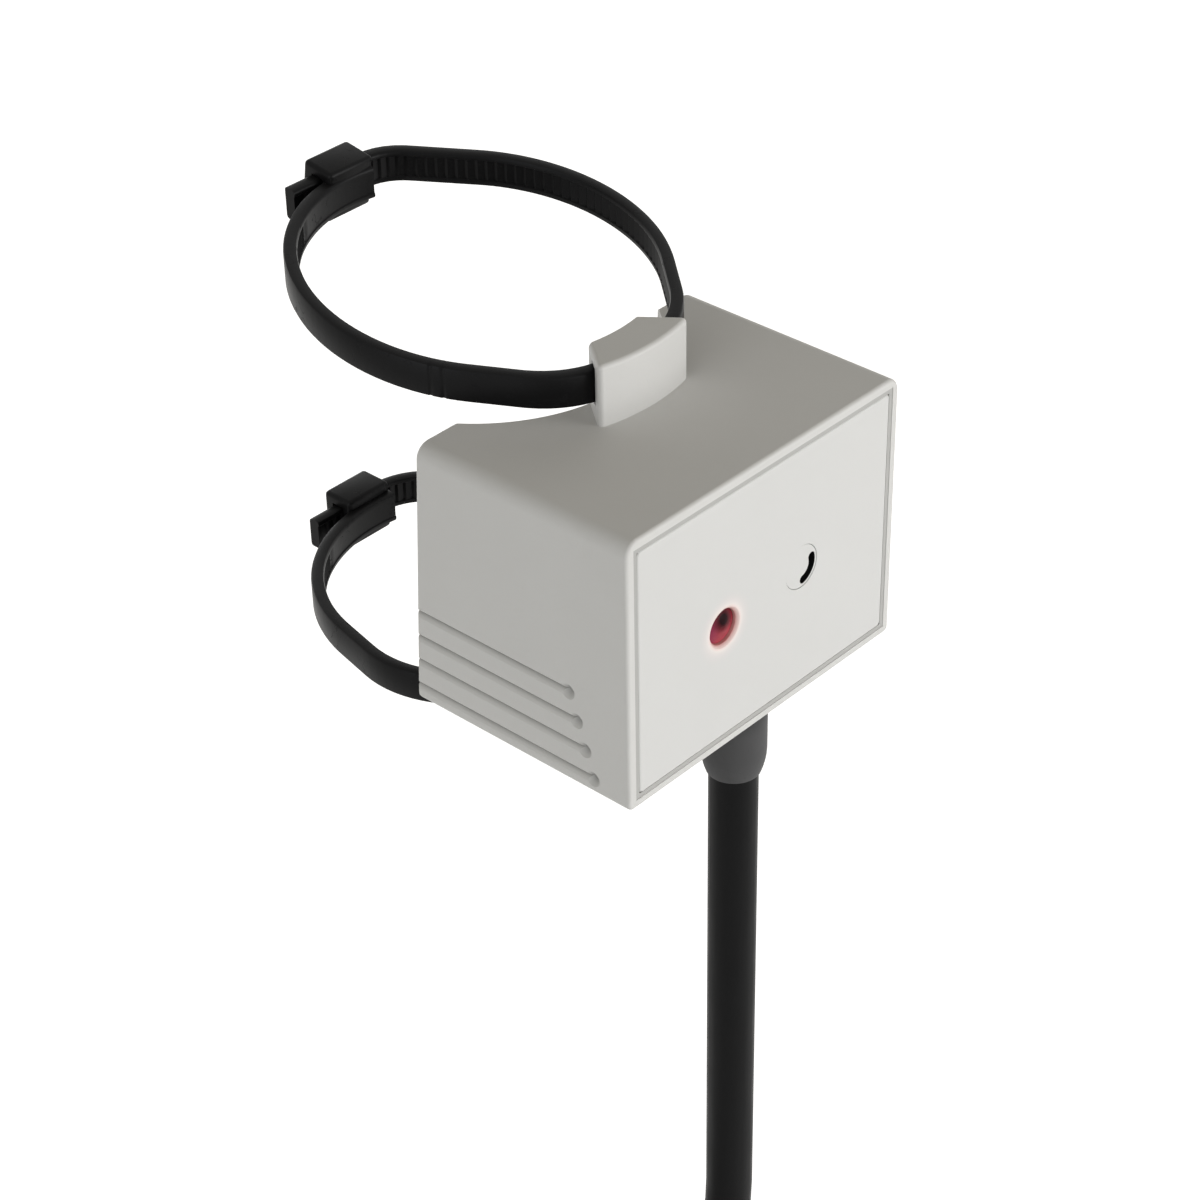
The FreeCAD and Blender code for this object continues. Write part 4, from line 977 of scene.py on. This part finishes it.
@dataclass
class Strands:
    """Bare tinned strands, lightly twisted, that stick out of a core's end."""

    core: str
    jacket_end: Vector
    degrees: float
    core_drop: float = mm(16.0)
    core_out: float = mm(2.3)
    lean: float = 1.6 / 8.0
    length: float = mm(4.5)
    buried: float = 0.08
    shorter: float = 0.012
    strand_radius: float = mm(0.125)
    ring_radius: float = mm(0.25)
    twist: float = math.radians(70.0)
    stations: int = 9
    around: int = 6

    def build(self) -> bpy.types.Object:
        """Make the strands of one core: a straight one and six that turn round it.

        Returns:
            The object of all seven.
        """
        spread = Vector((math.cos(math.radians(self.degrees)), math.sin(math.radians(self.degrees)), 0.0))
        tip = self.jacket_end + spread * self.core_out - Vector((0.0, 0.0, self.core_drop))
        run = (spread * self.lean - Vector((0.0, 0.0, 1.0))).normalized()
        side = run.cross(Vector((0.0, 1.0, 0.0))).normalized()
        across = run.cross(side)
        bm = bmesh.new()
        for number in range(1 + self.around):
            merge_into(bm, self.strand(tip, run, side, across, number))
        return publish(bm, "strands_" + self.core, Finishes.tinned, smooth_angle=60.0)

    def strand(self, tip: Vector, run: Vector, side: Vector, across: Vector, number: int) -> Mesh:
        """One strand.

        Args:
            tip: the middle of the core's end.
            run: the way that the core points.
            side: a direction square to it.
            across: the direction square to both.
            number: which strand: 0 for the straight one.

        Returns:
            The strand.
        """
        away = self.ring_radius if number else 0.0
        step = 360.0 / self.around

        def place(station: int, spoke: int) -> Vector:
            """A point of the strand.

            Args:
                station: which section.
                spoke: which point of it.

            Returns:
                Its place.
            """
            part = station / (self.stations - 1)
            turn = math.radians(step * number) + self.twist * part
            middle = tip + run * (self.length * (part - self.buried) * (1.0 - self.shorter * number))
            middle += (side * math.cos(turn) + across * math.sin(turn)) * away
            angle = math.radians(step * spoke)
            return middle + (side * math.cos(angle) + across * math.sin(angle)) * self.strand_radius

        return swept_grid(self.stations, self.around, place)


@dataclass
class Cable:
    """The cable: straight down from the housing, wound below it, and ending in bare cores."""

    diameter: float = mm(3.8)
    length: float = 1.05
    leaves_at: Vector = later(mm, 2.4, -21.9, -19.2)
    lead: tuple[tuple[float, float, float], ...] = (
        (2.4, -21.9, -8.0), (2.4, -21.9, -56.5), (2.4, -21.9, -68.0), (-3.35, -21.9, -77.96),
        (-13.31, -21.9, -83.71))
    tail_drop: tuple[float, ...] = (mm(9.0), mm(20.1))
    round_steps: int = 5
    steps_per_point: int = 5
    winding: Winding = later(Winding)
    cores: tuple[tuple[str, float, Finish], ...] = (
        ("brown", 90.0, Finishes.brown), ("black", 210.0, Finishes.black), ("blue", 330.0, Finishes.blue))

    def build(self) -> None:
        """Make the cable and dress what is on it."""
        winding = self.winding
        tail_x = winding.centre.x - winding.inner_radius
        tail_y = winding.centre.y + winding.tail_slot * winding.pitch
        tail = [Vector((tail_x, tail_y, winding.centre.z - drop)) for drop in self.tail_drop]
        obj = self.spline([*(mm(*spot) for spot in self.lead), *winding.controls(), *tail])
        dress(obj, Finishes.jacket)
        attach(obj, ROOT)
        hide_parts("cable_lead", "cable_coil", "cable_tail")
        on_cable = [node_object(name) for name in ("coil_tie", "core_brown", "core_black", "core_blue")]
        on_cable += [Strands(name, tail[-1], angle).build() for name, angle, _ in self.cores]
        tuple(self.leaves_at)
        dress_nodes({"coil_tie": Finishes.tie})
        for name, _, finish in self.cores:
            dress_nodes({"core_" + name: finish, "wire_" + name: finish})

    def spline(self, route: list[Vector]) -> bpy.types.Object:
        """The jacket as a curve.

        Args:
            route: its control points.

        Returns:
            The curve's object.
        """
        curve = bpy.data.curves.new("cable", "CURVE")
        curve.dimensions = "3D"
        curve.bevel_depth = self.diameter / 2.0
        curve.bevel_resolution = self.round_steps
        curve.resolution_u = self.steps_per_point
        curve.use_fill_caps = True
        spline = curve.splines.new("NURBS")
        spline.points.add(len(route) - 1)
        for point, spot in zip(spline.points, route):
            point.co = (*spot, 1.0)
        spline.order_u = 3
        spline.use_endpoint_u = True
        LOG.info("cable: %d control points", len(route))
        return add_object("cable", curve)


# Housing, front and ties

@dataclass
class Housing:
    """Moulded box with its cradle, its strap bridges and the bush in its floor.

    The model has all four grip grooves on the left side, but only the lowest one's conical end
    on the right. So a copy of its shell gets the missing ones, cut to the same outline.
    """

    side: float = mm(14.5)
    depth: float = mm(0.5)
    shoulder: float = mm(0.61)
    half_height: float = mm(0.6)
    grooves: int = 4
    missing_ends: int = 3
    first_level: float = mm(-3.25)
    pitch: float = mm(2.16)
    behind: float = mm(-4.0)
    first_end: float = mm(-21.15)
    end_step: float = mm(-0.72)
    end_radius: float = mm(0.62)
    end_tip: float = mm(0.2)
    lip: float = mm(0.05)
    steps: int = 6

    def build(self) -> None:
        """Cut the right side's grooves, and dress the housing and the bush."""
        shell = self.grooved_shell()
        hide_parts("housing_shell")
        dress_nodes({"strain_relief": Finishes.relief})

    def grooved_shell(self) -> bpy.types.Object:
        """Copy the model's shell and cut what it lacks.

        Returns:
            The shell's object.
        """
        bm = bmesh.new()
        bm.from_mesh(node_object("housing_shell").data)
        bmesh.ops.remove_doubles(bm, verts=bm.verts, dist=MERGE)
        plain = self.scratch(bm, "plain_shell")
        cutters = [self.scratch(self.groove(number), "groove") for number in range(self.grooves)]
        cutters += [self.scratch(self.groove_end(number), "groove_end")
                    for number in range(self.missing_ends)]
        for cutter in cutters:
            cut = plain.modifiers.new("cut", "BOOLEAN")
            cut.operation = "DIFFERENCE"
            cut.solver = "EXACT"
            cut.object = cutter
        view = bpy.context.evaluated_depsgraph_get()
        mesh = bpy.data.meshes.new_from_object(plain.evaluated_get(view))
        bm = bmesh.new()
        bm.from_mesh(mesh)
        bmesh.ops.remove_doubles(bm, verts=bm.verts, dist=MERGE)
        bmesh.ops.recalc_face_normals(bm, faces=bm.faces)
        for scratch in [plain, *cutters]:
            bpy.data.objects.remove(scratch)
        bpy.data.meshes.remove(mesh)
        shell = publish(bm, "housing_moulded", Finishes.housing, smooth_angle=32.0)
        shell.modifiers.new("normals", "WEIGHTED_NORMAL").keep_sharp = True
        return shell

    @staticmethod
    def scratch(bm: Mesh, name: str) -> bpy.types.Object:
        """Turn a bmesh into an object that only serves a cut, without any normals of its own.

        Args:
            bm: the mesh.
            name: the object's name.

        Returns:
            The object.
        """
        obj = solid_object(bm, name)
        kept_normals = obj.data.attributes.get("custom_normal")
        if kept_normals:
            obj.data.attributes.remove(kept_normals)
        return obj

    def bite(self, inward: float) -> float:
        """How deep a shoulder has sunk at a height in from its edge."""
        return self.shoulder - math.sqrt(self.shoulder ** 2 - inward ** 2)

    def groove(self, number: int) -> Mesh:
        """The room of one groove: two rounded shoulders that meet in a narrow valley.

        Args:
            number: which groove, from 0 at the top.

        Returns:
            Its cutter.
        """
        level = self.first_level - number * self.pitch
        front = self.first_end + number * self.end_step
        section = [(self.side + self.lip, self.half_height), (self.side + self.lip, -self.half_height)]
        for step in range(-self.steps, self.steps + 1):
            height = self.half_height * step / self.steps
            sunk = self.bite(self.half_height - abs(height)) * self.depth / self.bite(self.half_height)
            section.append((self.side - sunk, height))

        def place(station: int, spoke: int) -> Vector:
            """A point of the groove, behind or at its front end."""
            x, height = section[spoke]
            return Vector((x, (self.behind, front)[station], level + height))

        return swept_grid(2, len(section), place)

    def groove_end(self, number: int) -> Mesh:
        """The conical end of one groove.

        Args:
            number: which groove, from 0 at the top.

        Returns:
            Its cutter.
        """
        slope = (self.end_radius - self.end_tip) / self.depth
        middle = Vector((self.side + (self.lip - self.depth) / 2.0, self.first_end + number * self.end_step,
                         self.first_level - number * self.pitch))
        across = Matrix.Rotation(math.radians(90.0), 4, "Y")
        bm = bmesh.new()
        bmesh.ops.create_cone(bm, cap_ends=True, segments=32, radius1=self.end_tip,
                              radius2=self.end_radius + self.lip * slope, depth=self.depth + self.lip,
                              matrix=Matrix.Translation(middle) @ across)
        return bm


@dataclass
class Front:
    """Cover with the lamp and the adjuster, and the bead of adhesive round the cover."""

    half_width: float = mm(13.83)
    half_height: float = mm(10.33)
    flange_level: float = mm(-26.38)
    bead_width: float = mm(0.40)
    bead_height: float = mm(0.27)
    bead_sunk: float = mm(0.03)

    def build(self) -> None:
        """Make the bead, and dress the cover and what shows in it."""
        self.bead()
        dress_nodes({"front_cover": Finishes.cover, "cover_gasket": Finishes.seal,
                     "lamp_lens": Finishes.lamp, "adjuster_rotor": Finishes.rotor,
                     "adjuster_seal": Finishes.seal})

    def bead(self) -> None:
        """Narrow frame on the cover's flange, against the housing all round."""
        bm = bmesh.new()
        forward = Matrix.Translation((0.0, self.flange_level - self.bead_height, 0.0))
        upright = Matrix.Rotation(math.radians(90.0), 4, "X")
        shape = Matrix.Diagonal((self.half_width, self.half_height, 1.0, 1.0))
        bmesh.ops.create_grid(bm, x_segments=1, y_segments=1, size=1.0, matrix=forward @ upright @ shape)
        middle = list(bm.faces)
        bmesh.ops.inset_region(bm, faces=middle, thickness=self.bead_width, use_boundary=True,
                               use_even_offset=True)
        bmesh.ops.delete(bm, geom=middle, context="FACES")
        made = bmesh.ops.extrude_face_region(bm, geom=list(bm.faces))["geom"]
        bmesh.ops.translate(bm, verts=[part for part in made if isinstance(part, bmesh.types.BMVert)],
                            vec=(0.0, self.bead_height + self.bead_sunk, 0.0))
        bmesh.ops.recalc_face_normals(bm, faces=bm.faces)
        publish(bm, "cover_bead", Finishes.bead, smooth_angle=20.0)


@dataclass
class Electronics:
    """Board, the parts on it and the electrodes behind the cradle."""

    finishes: tuple[tuple[Finish, tuple[str, ...]], ...] = (
        (Finishes.trimmer, ("trimmer_body",)),
        (Finishes.board, ("main_board",)),
        (Finishes.carrier, ("status_lamp", "electrode_carrier")),
        (Finishes.package, ("controller_chip", "voltage_regulator", "output_transistor",
                            "board_resistors")),
        (Finishes.passive, ("board_capacitors",)),
        (Finishes.copper, ("sense_electrode", "guard_electrode", "sense_pin", "guard_pin")))

    def build(self) -> None:
        """Dress the inner pieces."""
        for finish, names in self.finishes:
            dress_nodes({name: finish for name in names})


@dataclass
class Tie:
    """One tie: a toothed band round the pipe and the cradle, and the ratchet head that holds it.

    The band starts under the head, goes round by the left, the front and the right, lifts off the
    pipe and passes through the head, where its end is cut off.
    """

    name: str
    level: float
    tilt: float
    front_angle: float
    pipe_line: float = mm(13.5)
    front_line: float = mm(14.6)
    bend: float = mm(8.5)
    half_thickness: float = mm(0.5)
    half_width: float = mm(1.25)
    corner: float = mm(0.22)
    rail: float = mm(0.4)
    rail_slope: float = mm(0.05)
    tooth_height: float = mm(0.16)
    tooth_pitch: float = mm(0.75)
    tooth_shape: tuple[tuple[float, float], ...] = ((0.0, 1.0), (0.72, 0.12))
    plain_start: float = mm(9.0)
    plain_depth: float = 0.5
    marks: tuple[float, ...] = ()
    mark_size: float = mm(0.09)
    mark_shape: tuple[tuple[float, float], ...] = ((-1.6, 0), (-0.8, 1), (0.8, 1), (1.6, 0))
    mark_depth: float = mm(0.05)
    slack: float = mm(0.0001)
    under_head: float = mm(2.1)
    lift_angle: float = math.radians(45.0)
    lift_bend: float = mm(5.0)
    slot_line: float = mm(14.95)
    cut_end: float = mm(-4.8)
    head_low: Vector = later(mm, -2.2, 13.6, -2.1)
    head_high: Vector = later(mm, 2.2, 16.5, 2.1)
    head_edge: float = mm(0.35)
    head_inset: float = mm(0.3)
    slot_half_height: float = mm(0.6)
    slot_half_width: float = mm(1.36)
    window: Vector = later(mm, 0.75, 0.7, 0.85)
    pawl_share: Vector = later(Vector, (0.72, 0.35, 0.8))
    pawl_root: float = mm(0.1)
    pawl_edge: float = mm(0.12)
    pawl_slope: float = 0.3

    def build(self) -> None:
        """Make the tie in place of the model's plain one."""
        bm = self.band()
        merge_into(bm, self.head())
        merge_into(bm, self.pawl())
        obj = publish(bm, self.name + "_moulded", Finishes.tie, smooth_angle=40.0)
        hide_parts(self.name)

    def on_slope(self, x: float, y: float, up: float) -> Vector:
        """The place at x and y, so far above the tilted middle plane of the tie."""
        rise = (y + self.front_line) * math.tan(self.tilt)
        return Vector((x, y, self.level + rise + up / math.cos(self.tilt)))

    def route(self) -> list[tuple[float, Callable[[float], tuple[float, float, float]]]]:
        """The band's middle line: each stretch with its length and the point at a distance along it.

        Returns:
            Pairs of a length and a function to x, y and the angle that the band faces.
        """
        lean = math.acos((self.pipe_line - self.bend) / (self.front_line - self.bend))
        touch = self.front_angle + lean
        offset = self.front_line - self.bend
        straight = offset * math.sin(lean)

        def at(angle: float, radius: float) -> tuple[float, float]:
            """A circle's point, from its middle."""
            return radius * math.sin(angle), -radius * math.cos(angle)

        def on_arc(middle: tuple[float, float], radius: float,
                   angle: float) -> tuple[float, float, float]:
            """A point of an arc, with the angle that the band faces there."""
            x, y = at(angle, radius)
            return middle[0] + x, middle[1] + y, angle

        def arc(middle: tuple[float, float], radius: float, start: float) -> Callable:
            """A stretch round a middle, from an angle on."""
            return lambda run: on_arc(middle, radius, start + run / radius)

        def line(start: tuple[float, float], facing: float) -> Callable:
            """A straight stretch from a place, where the band faces one way."""
            x_step, y_step = math.cos(facing), math.sin(facing)
            return lambda run: (start[0] + run * x_step, start[1] + run * y_step, facing)

        begin = -math.pi - math.asin(self.under_head / self.pipe_line)
        left, right = at(-self.front_angle, offset), at(self.front_angle, offset)
        leave = math.pi - self.lift_angle
        off = at(leave, self.pipe_line)
        target = (self.slot_line + self.front_line) * math.cos(self.tilt) - self.front_line
        climb = (target - off[1] - self.lift_bend * (1.0 - math.cos(self.lift_angle)))
        climb /= math.sin(self.lift_angle)
        top = (off[0] + climb * math.cos(leave), off[1] + climb * math.sin(leave))
        centre = (top[0] - self.lift_bend * math.sin(leave), top[1] + self.lift_bend * math.cos(leave))
        in_head = (centre[0], centre[1] + self.lift_bend)
        bend_end = tuple(a + b for a, b in zip(right, at(touch, self.bend)))
        return [
            ((-touch - begin) * self.pipe_line, arc((0.0, 0.0), self.pipe_line, begin)),
            (straight, line(at(-touch, self.pipe_line), -touch)),
            (lean * self.bend, arc(left, self.bend, -touch)),
            (2.0 * self.front_angle * self.front_line, arc((0.0, 0.0), self.front_line, -self.front_angle)),
            (lean * self.bend, arc(right, self.bend, self.front_angle)),
            (straight, line(bend_end, touch)),
            ((leave - touch) * self.pipe_line, arc((0.0, 0.0), self.pipe_line, touch)),
            (climb, line(off, leave)),
            (self.lift_angle * self.lift_bend, arc(centre, self.lift_bend, leave)),
            (in_head[0] - self.cut_end, line(in_head, math.pi)),
        ]

    def stations(self) -> list[tuple[float, float, float, float, float]]:
        """Sections of the band: two to a tooth, and four more at each mark.

        Returns:
            For each its x, y, the angle that it faces, the depth of the toothed channel there and
            how deep a mark is sunk in the outer face.
        """
        route = self.route()
        total = sum(length for length, _ in route)
        runs = [(total, self.plain_depth, 0.0)]
        for tooth in range(int(total / self.tooth_pitch)):
            for part, depth in self.tooth_shape:
                run = (tooth + part) * self.tooth_pitch
                runs.append((run, depth if run > self.plain_start else self.plain_depth, 0.0))
        for mark in self.marks:
            runs += [(mark + side * self.mark_size, self.plain_depth, sunk)
                     for side, sunk in self.mark_shape]
        found = []
        for run, depth, sunk in sorted(runs):
            for length, point in route:
                if run <= length + self.slack:
                    break
                run -= length
            found.append((*point(run), depth * self.tooth_height, sunk * self.mark_depth))
        return found

    def band(self) -> Mesh:
        """The band, with rails along the edges of its inner face and teeth between them.

        Returns:
            Its mesh.
        """
        stations = self.stations()
        inner_u, inner_v = self.half_thickness - self.corner, self.half_width - self.corner
        turns = [math.radians(degrees) for degrees in (0.0, 45.0, 90.0)]
        quarter = [(self.corner * math.cos(turn), self.corner * math.sin(turn)) for turn in turns]
        upper = [(inner_u + u, inner_v + v) for u, v in quarter]
        upper += [(-inner_u - u, inner_v + v) for u, v in reversed(quarter)]
        upper += [(-self.half_thickness, self.half_width - self.rail)]
        channel = self.half_width - self.rail - self.rail_slope
        section = upper + [(None, channel), (None, -channel)] + [(u, -v) for u, v in reversed(upper)]

        def place(station: int, spoke: int) -> Vector:
            """A point of the band.

            Args:
                station: which section.
                spoke: which point of it.

            Returns:
                Its place.
            """
            x, y, facing, depth, sunk = stations[station]
            out, up = section[spoke]
            out = -self.half_thickness + depth if out is None else out
            if out > inner_u:
                out -= sunk
            return self.on_slope(x + out * math.sin(facing), y - out * math.cos(facing), up)

        return swept_grid(len(stations), len(section), place)

    def tilt_all(self, bm: Mesh) -> Mesh:
        """Bring a part of the head from level to the tie's own slope.

        Args:
            bm: the part.

        Returns:
            The same part.
        """
        hinge = Vector((0.0, -self.front_line, self.level))
        lift = Matrix.Translation(Vector((0.0, 0.0, self.level)))
        turn = Matrix.Rotation(self.tilt, 4, "X")
        bmesh.ops.transform(bm, verts=bm.verts,
                            matrix=Matrix.Translation(hinge) @ turn @ Matrix.Translation(-hinge) @ lift)
        return bm

    def head(self) -> Mesh:
        """The ratchet head: a rounded block with a slot right through and a window behind.

        Returns:
            Its mesh.
        """
        bm = block(self.head_low, self.head_high)
        middle = (self.head_low + self.head_high) / 2.0
        outside = list(bm.edges)
        ends = [face for face in bm.faces if abs(face.normal.x) > FACING]
        back = [face for face in bm.faces if face.normal.y > FACING]
        bmesh.ops.inset_individual(bm, faces=ends + back, thickness=self.head_inset)
        for vert in {vert for face in ends for vert in face.verts}:
            vert.co.y = self.slot_line + math.copysign(self.slot_half_height, vert.co.y - middle.y)
            vert.co.z = math.copysign(self.slot_half_width, vert.co.z)
        for vert in back[0].verts:
            vert.co.x = math.copysign(self.window.x, vert.co.x)
            vert.co.z = math.copysign(self.window.z, vert.co.z)
        sunk = bmesh.ops.extrude_discrete_faces(bm, faces=back)["faces"]
        bmesh.ops.translate(bm, verts=sunk[0].verts, vec=(0.0, -self.window.y, 0.0))
        rims = [edge for face in ends for edge in face.edges]
        bmesh.ops.delete(bm, geom=ends, context="FACES_ONLY")
        bmesh.ops.bridge_loops(bm, edges=rims)
        bevel_all(bm, [edge for edge in outside if edge.is_valid], self.head_edge, segments=3)
        bmesh.ops.recalc_face_normals(bm, faces=bm.faces)
        return self.tilt_all(bm)

    def pawl(self) -> Mesh:
        """The tongue that catches the teeth, seen in the head's window.

        Returns:
            Its mesh.
        """
        share, back = self.pawl_share, self.head_high.y
        low = Vector((-share.x * self.window.x, back - self.window.y - self.pawl_root,
                      -share.z * self.window.z))
        high = Vector((share.x * self.window.x, back - share.y * self.window.y, share.z * self.window.z))
        bm = block(low, high)
        bevel_all(bm, list(bm.edges), self.pawl_edge, segments=2)
        for vert in bm.verts:
            if vert.co.y > (low.y + high.y) / 2.0:
                vert.co.y -= self.pawl_slope * (vert.co.x - low.x)
        return self.tilt_all(bm)


@dataclass
class Ties:
    """The two ties that hold the housing to the pipe."""

    upper_marks: tuple[float, ...] = (mm(30.2), mm(31.1))

    def build(self) -> None:
        """Make both ties."""
        Tie("upper_strap", mm(13.6), math.radians(9.0), math.radians(15.015),
            marks=self.upper_marks).build()
        Tie("lower_strap", mm(-10.6), 0.0, math.radians(67.23)).build()


# Camera, light and floor

@dataclass
class Camera:
    """The photograph's camera, from the fit to the housing's edges."""

    place: Vector = later(mm, -134.99, -135.74, 118.61)
    forward: Vector = later(Vector, (0.60496, 0.55949, -0.56657))
    upward: Vector = later(Vector, (0.42954, 0.36982, 0.82385))
    lens: float = 90.42
    sensor: float = 36.0
    nearest: float = 0.01
    furthest: float = 20.0

    def build(self) -> None:
        """Make the camera and look through it."""
        data = bpy.data.cameras.new("camera")
        data.lens, data.sensor_width = self.lens, self.sensor
        data.clip_start, data.clip_end = self.nearest, self.furthest
        camera = add_object("camera", data)
        back = -self.forward.normalized()
        right = self.upward.cross(back).normalized()
        turn = Matrix((right, back.cross(right), back)).transposed()
        camera.matrix_world = Matrix.Translation(self.place) @ turn.to_4x4()
        bpy.context.scene.camera = camera


@dataclass
class Lamp:
    """Square soft lamp that points at the housing."""

    name: str
    place: Point
    size: float
    power: float
    light: Colour = WHITE
    aim: Point = (0.0, -0.018, 0.0)

    def build(self) -> None:
        """Make the lamp."""
        data = bpy.data.lights.new(self.name, "AREA")
        data.shape = "SQUARE"
        data.size, data.energy, data.color = self.size, self.power, self.light
        away = Vector(self.aim) - Vector(self.place)
        turn = away.to_track_quat("-Z", "Y").to_matrix().to_4x4()
        add_object(self.name, data).matrix_world = Matrix.Translation(self.place) @ turn


@dataclass
class Studio:
    """Pale floor, an even sky that lights a little warm, and a broad lamp at each of three sides."""

    floor_level: float = mm(-170.0)
    floor_size: float = 6.0
    sky_strength: float = 0.275
    sky_light: Colour = (1.0, 0.945, 0.815)
    lamps: tuple[Lamp, ...] = (
        Lamp("key_lamp", (0.42, -0.95, 0.10), 0.6, 7.5),
        Lamp("left_lamp", (-0.95, -0.25, 0.15), 0.7, 3.1, (0.97, 1.0, 1.04)),
        Lamp("back_lamp", (0.35, 0.95, -0.12), 0.7, 4.5))

    def build(self) -> None:
        """Make the floor, the world and the lamps."""
        self.make_floor()
        self.make_sky()
        for lamp in self.lamps:
            lamp.build()
        bpy.context.scene.view_settings.view_transform = "Standard"

    def make_floor(self) -> None:
        """Flat floor that shows almost white and keeps the shadow."""
        bm = bmesh.new()
        bmesh.ops.create_grid(bm, x_segments=1, y_segments=1, size=self.floor_size)
        bmesh.ops.translate(bm, verts=bm.verts, vec=(0.0, 0.0, self.floor_level))
        floor = solid_object(bm, "floor")
        dress(floor, Finishes.paper)

    def make_sky(self) -> None:
        """Even white sky, seen as white and lighting less than it shows."""
        world = bpy.data.worlds.new("sky")
        bpy.context.scene.world = world
        world.use_nodes = True
        world.node_tree.nodes.clear()
        bench = Bench(world.node_tree)
        light = tuple(self.sky_strength * part for part in self.sky_light)
        sky = bench.take("Background", {"Color": bench.blend(seen_plainly(bench), light, WHITE)})
        bench.add("OutputWorld", {"Surface": sky})


def main() -> None:
    """Build the scene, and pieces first."""
    logging.basicConfig(level=logging.INFO, format="%(name)s %(message)s")
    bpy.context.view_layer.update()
    Camera().build()
    Cable().build()
    Studio().build()
    Housing().build()
    Front().build()
    Electronics().build()
    Ties().build()


if __name__ == "__main__":
    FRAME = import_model()
    main()
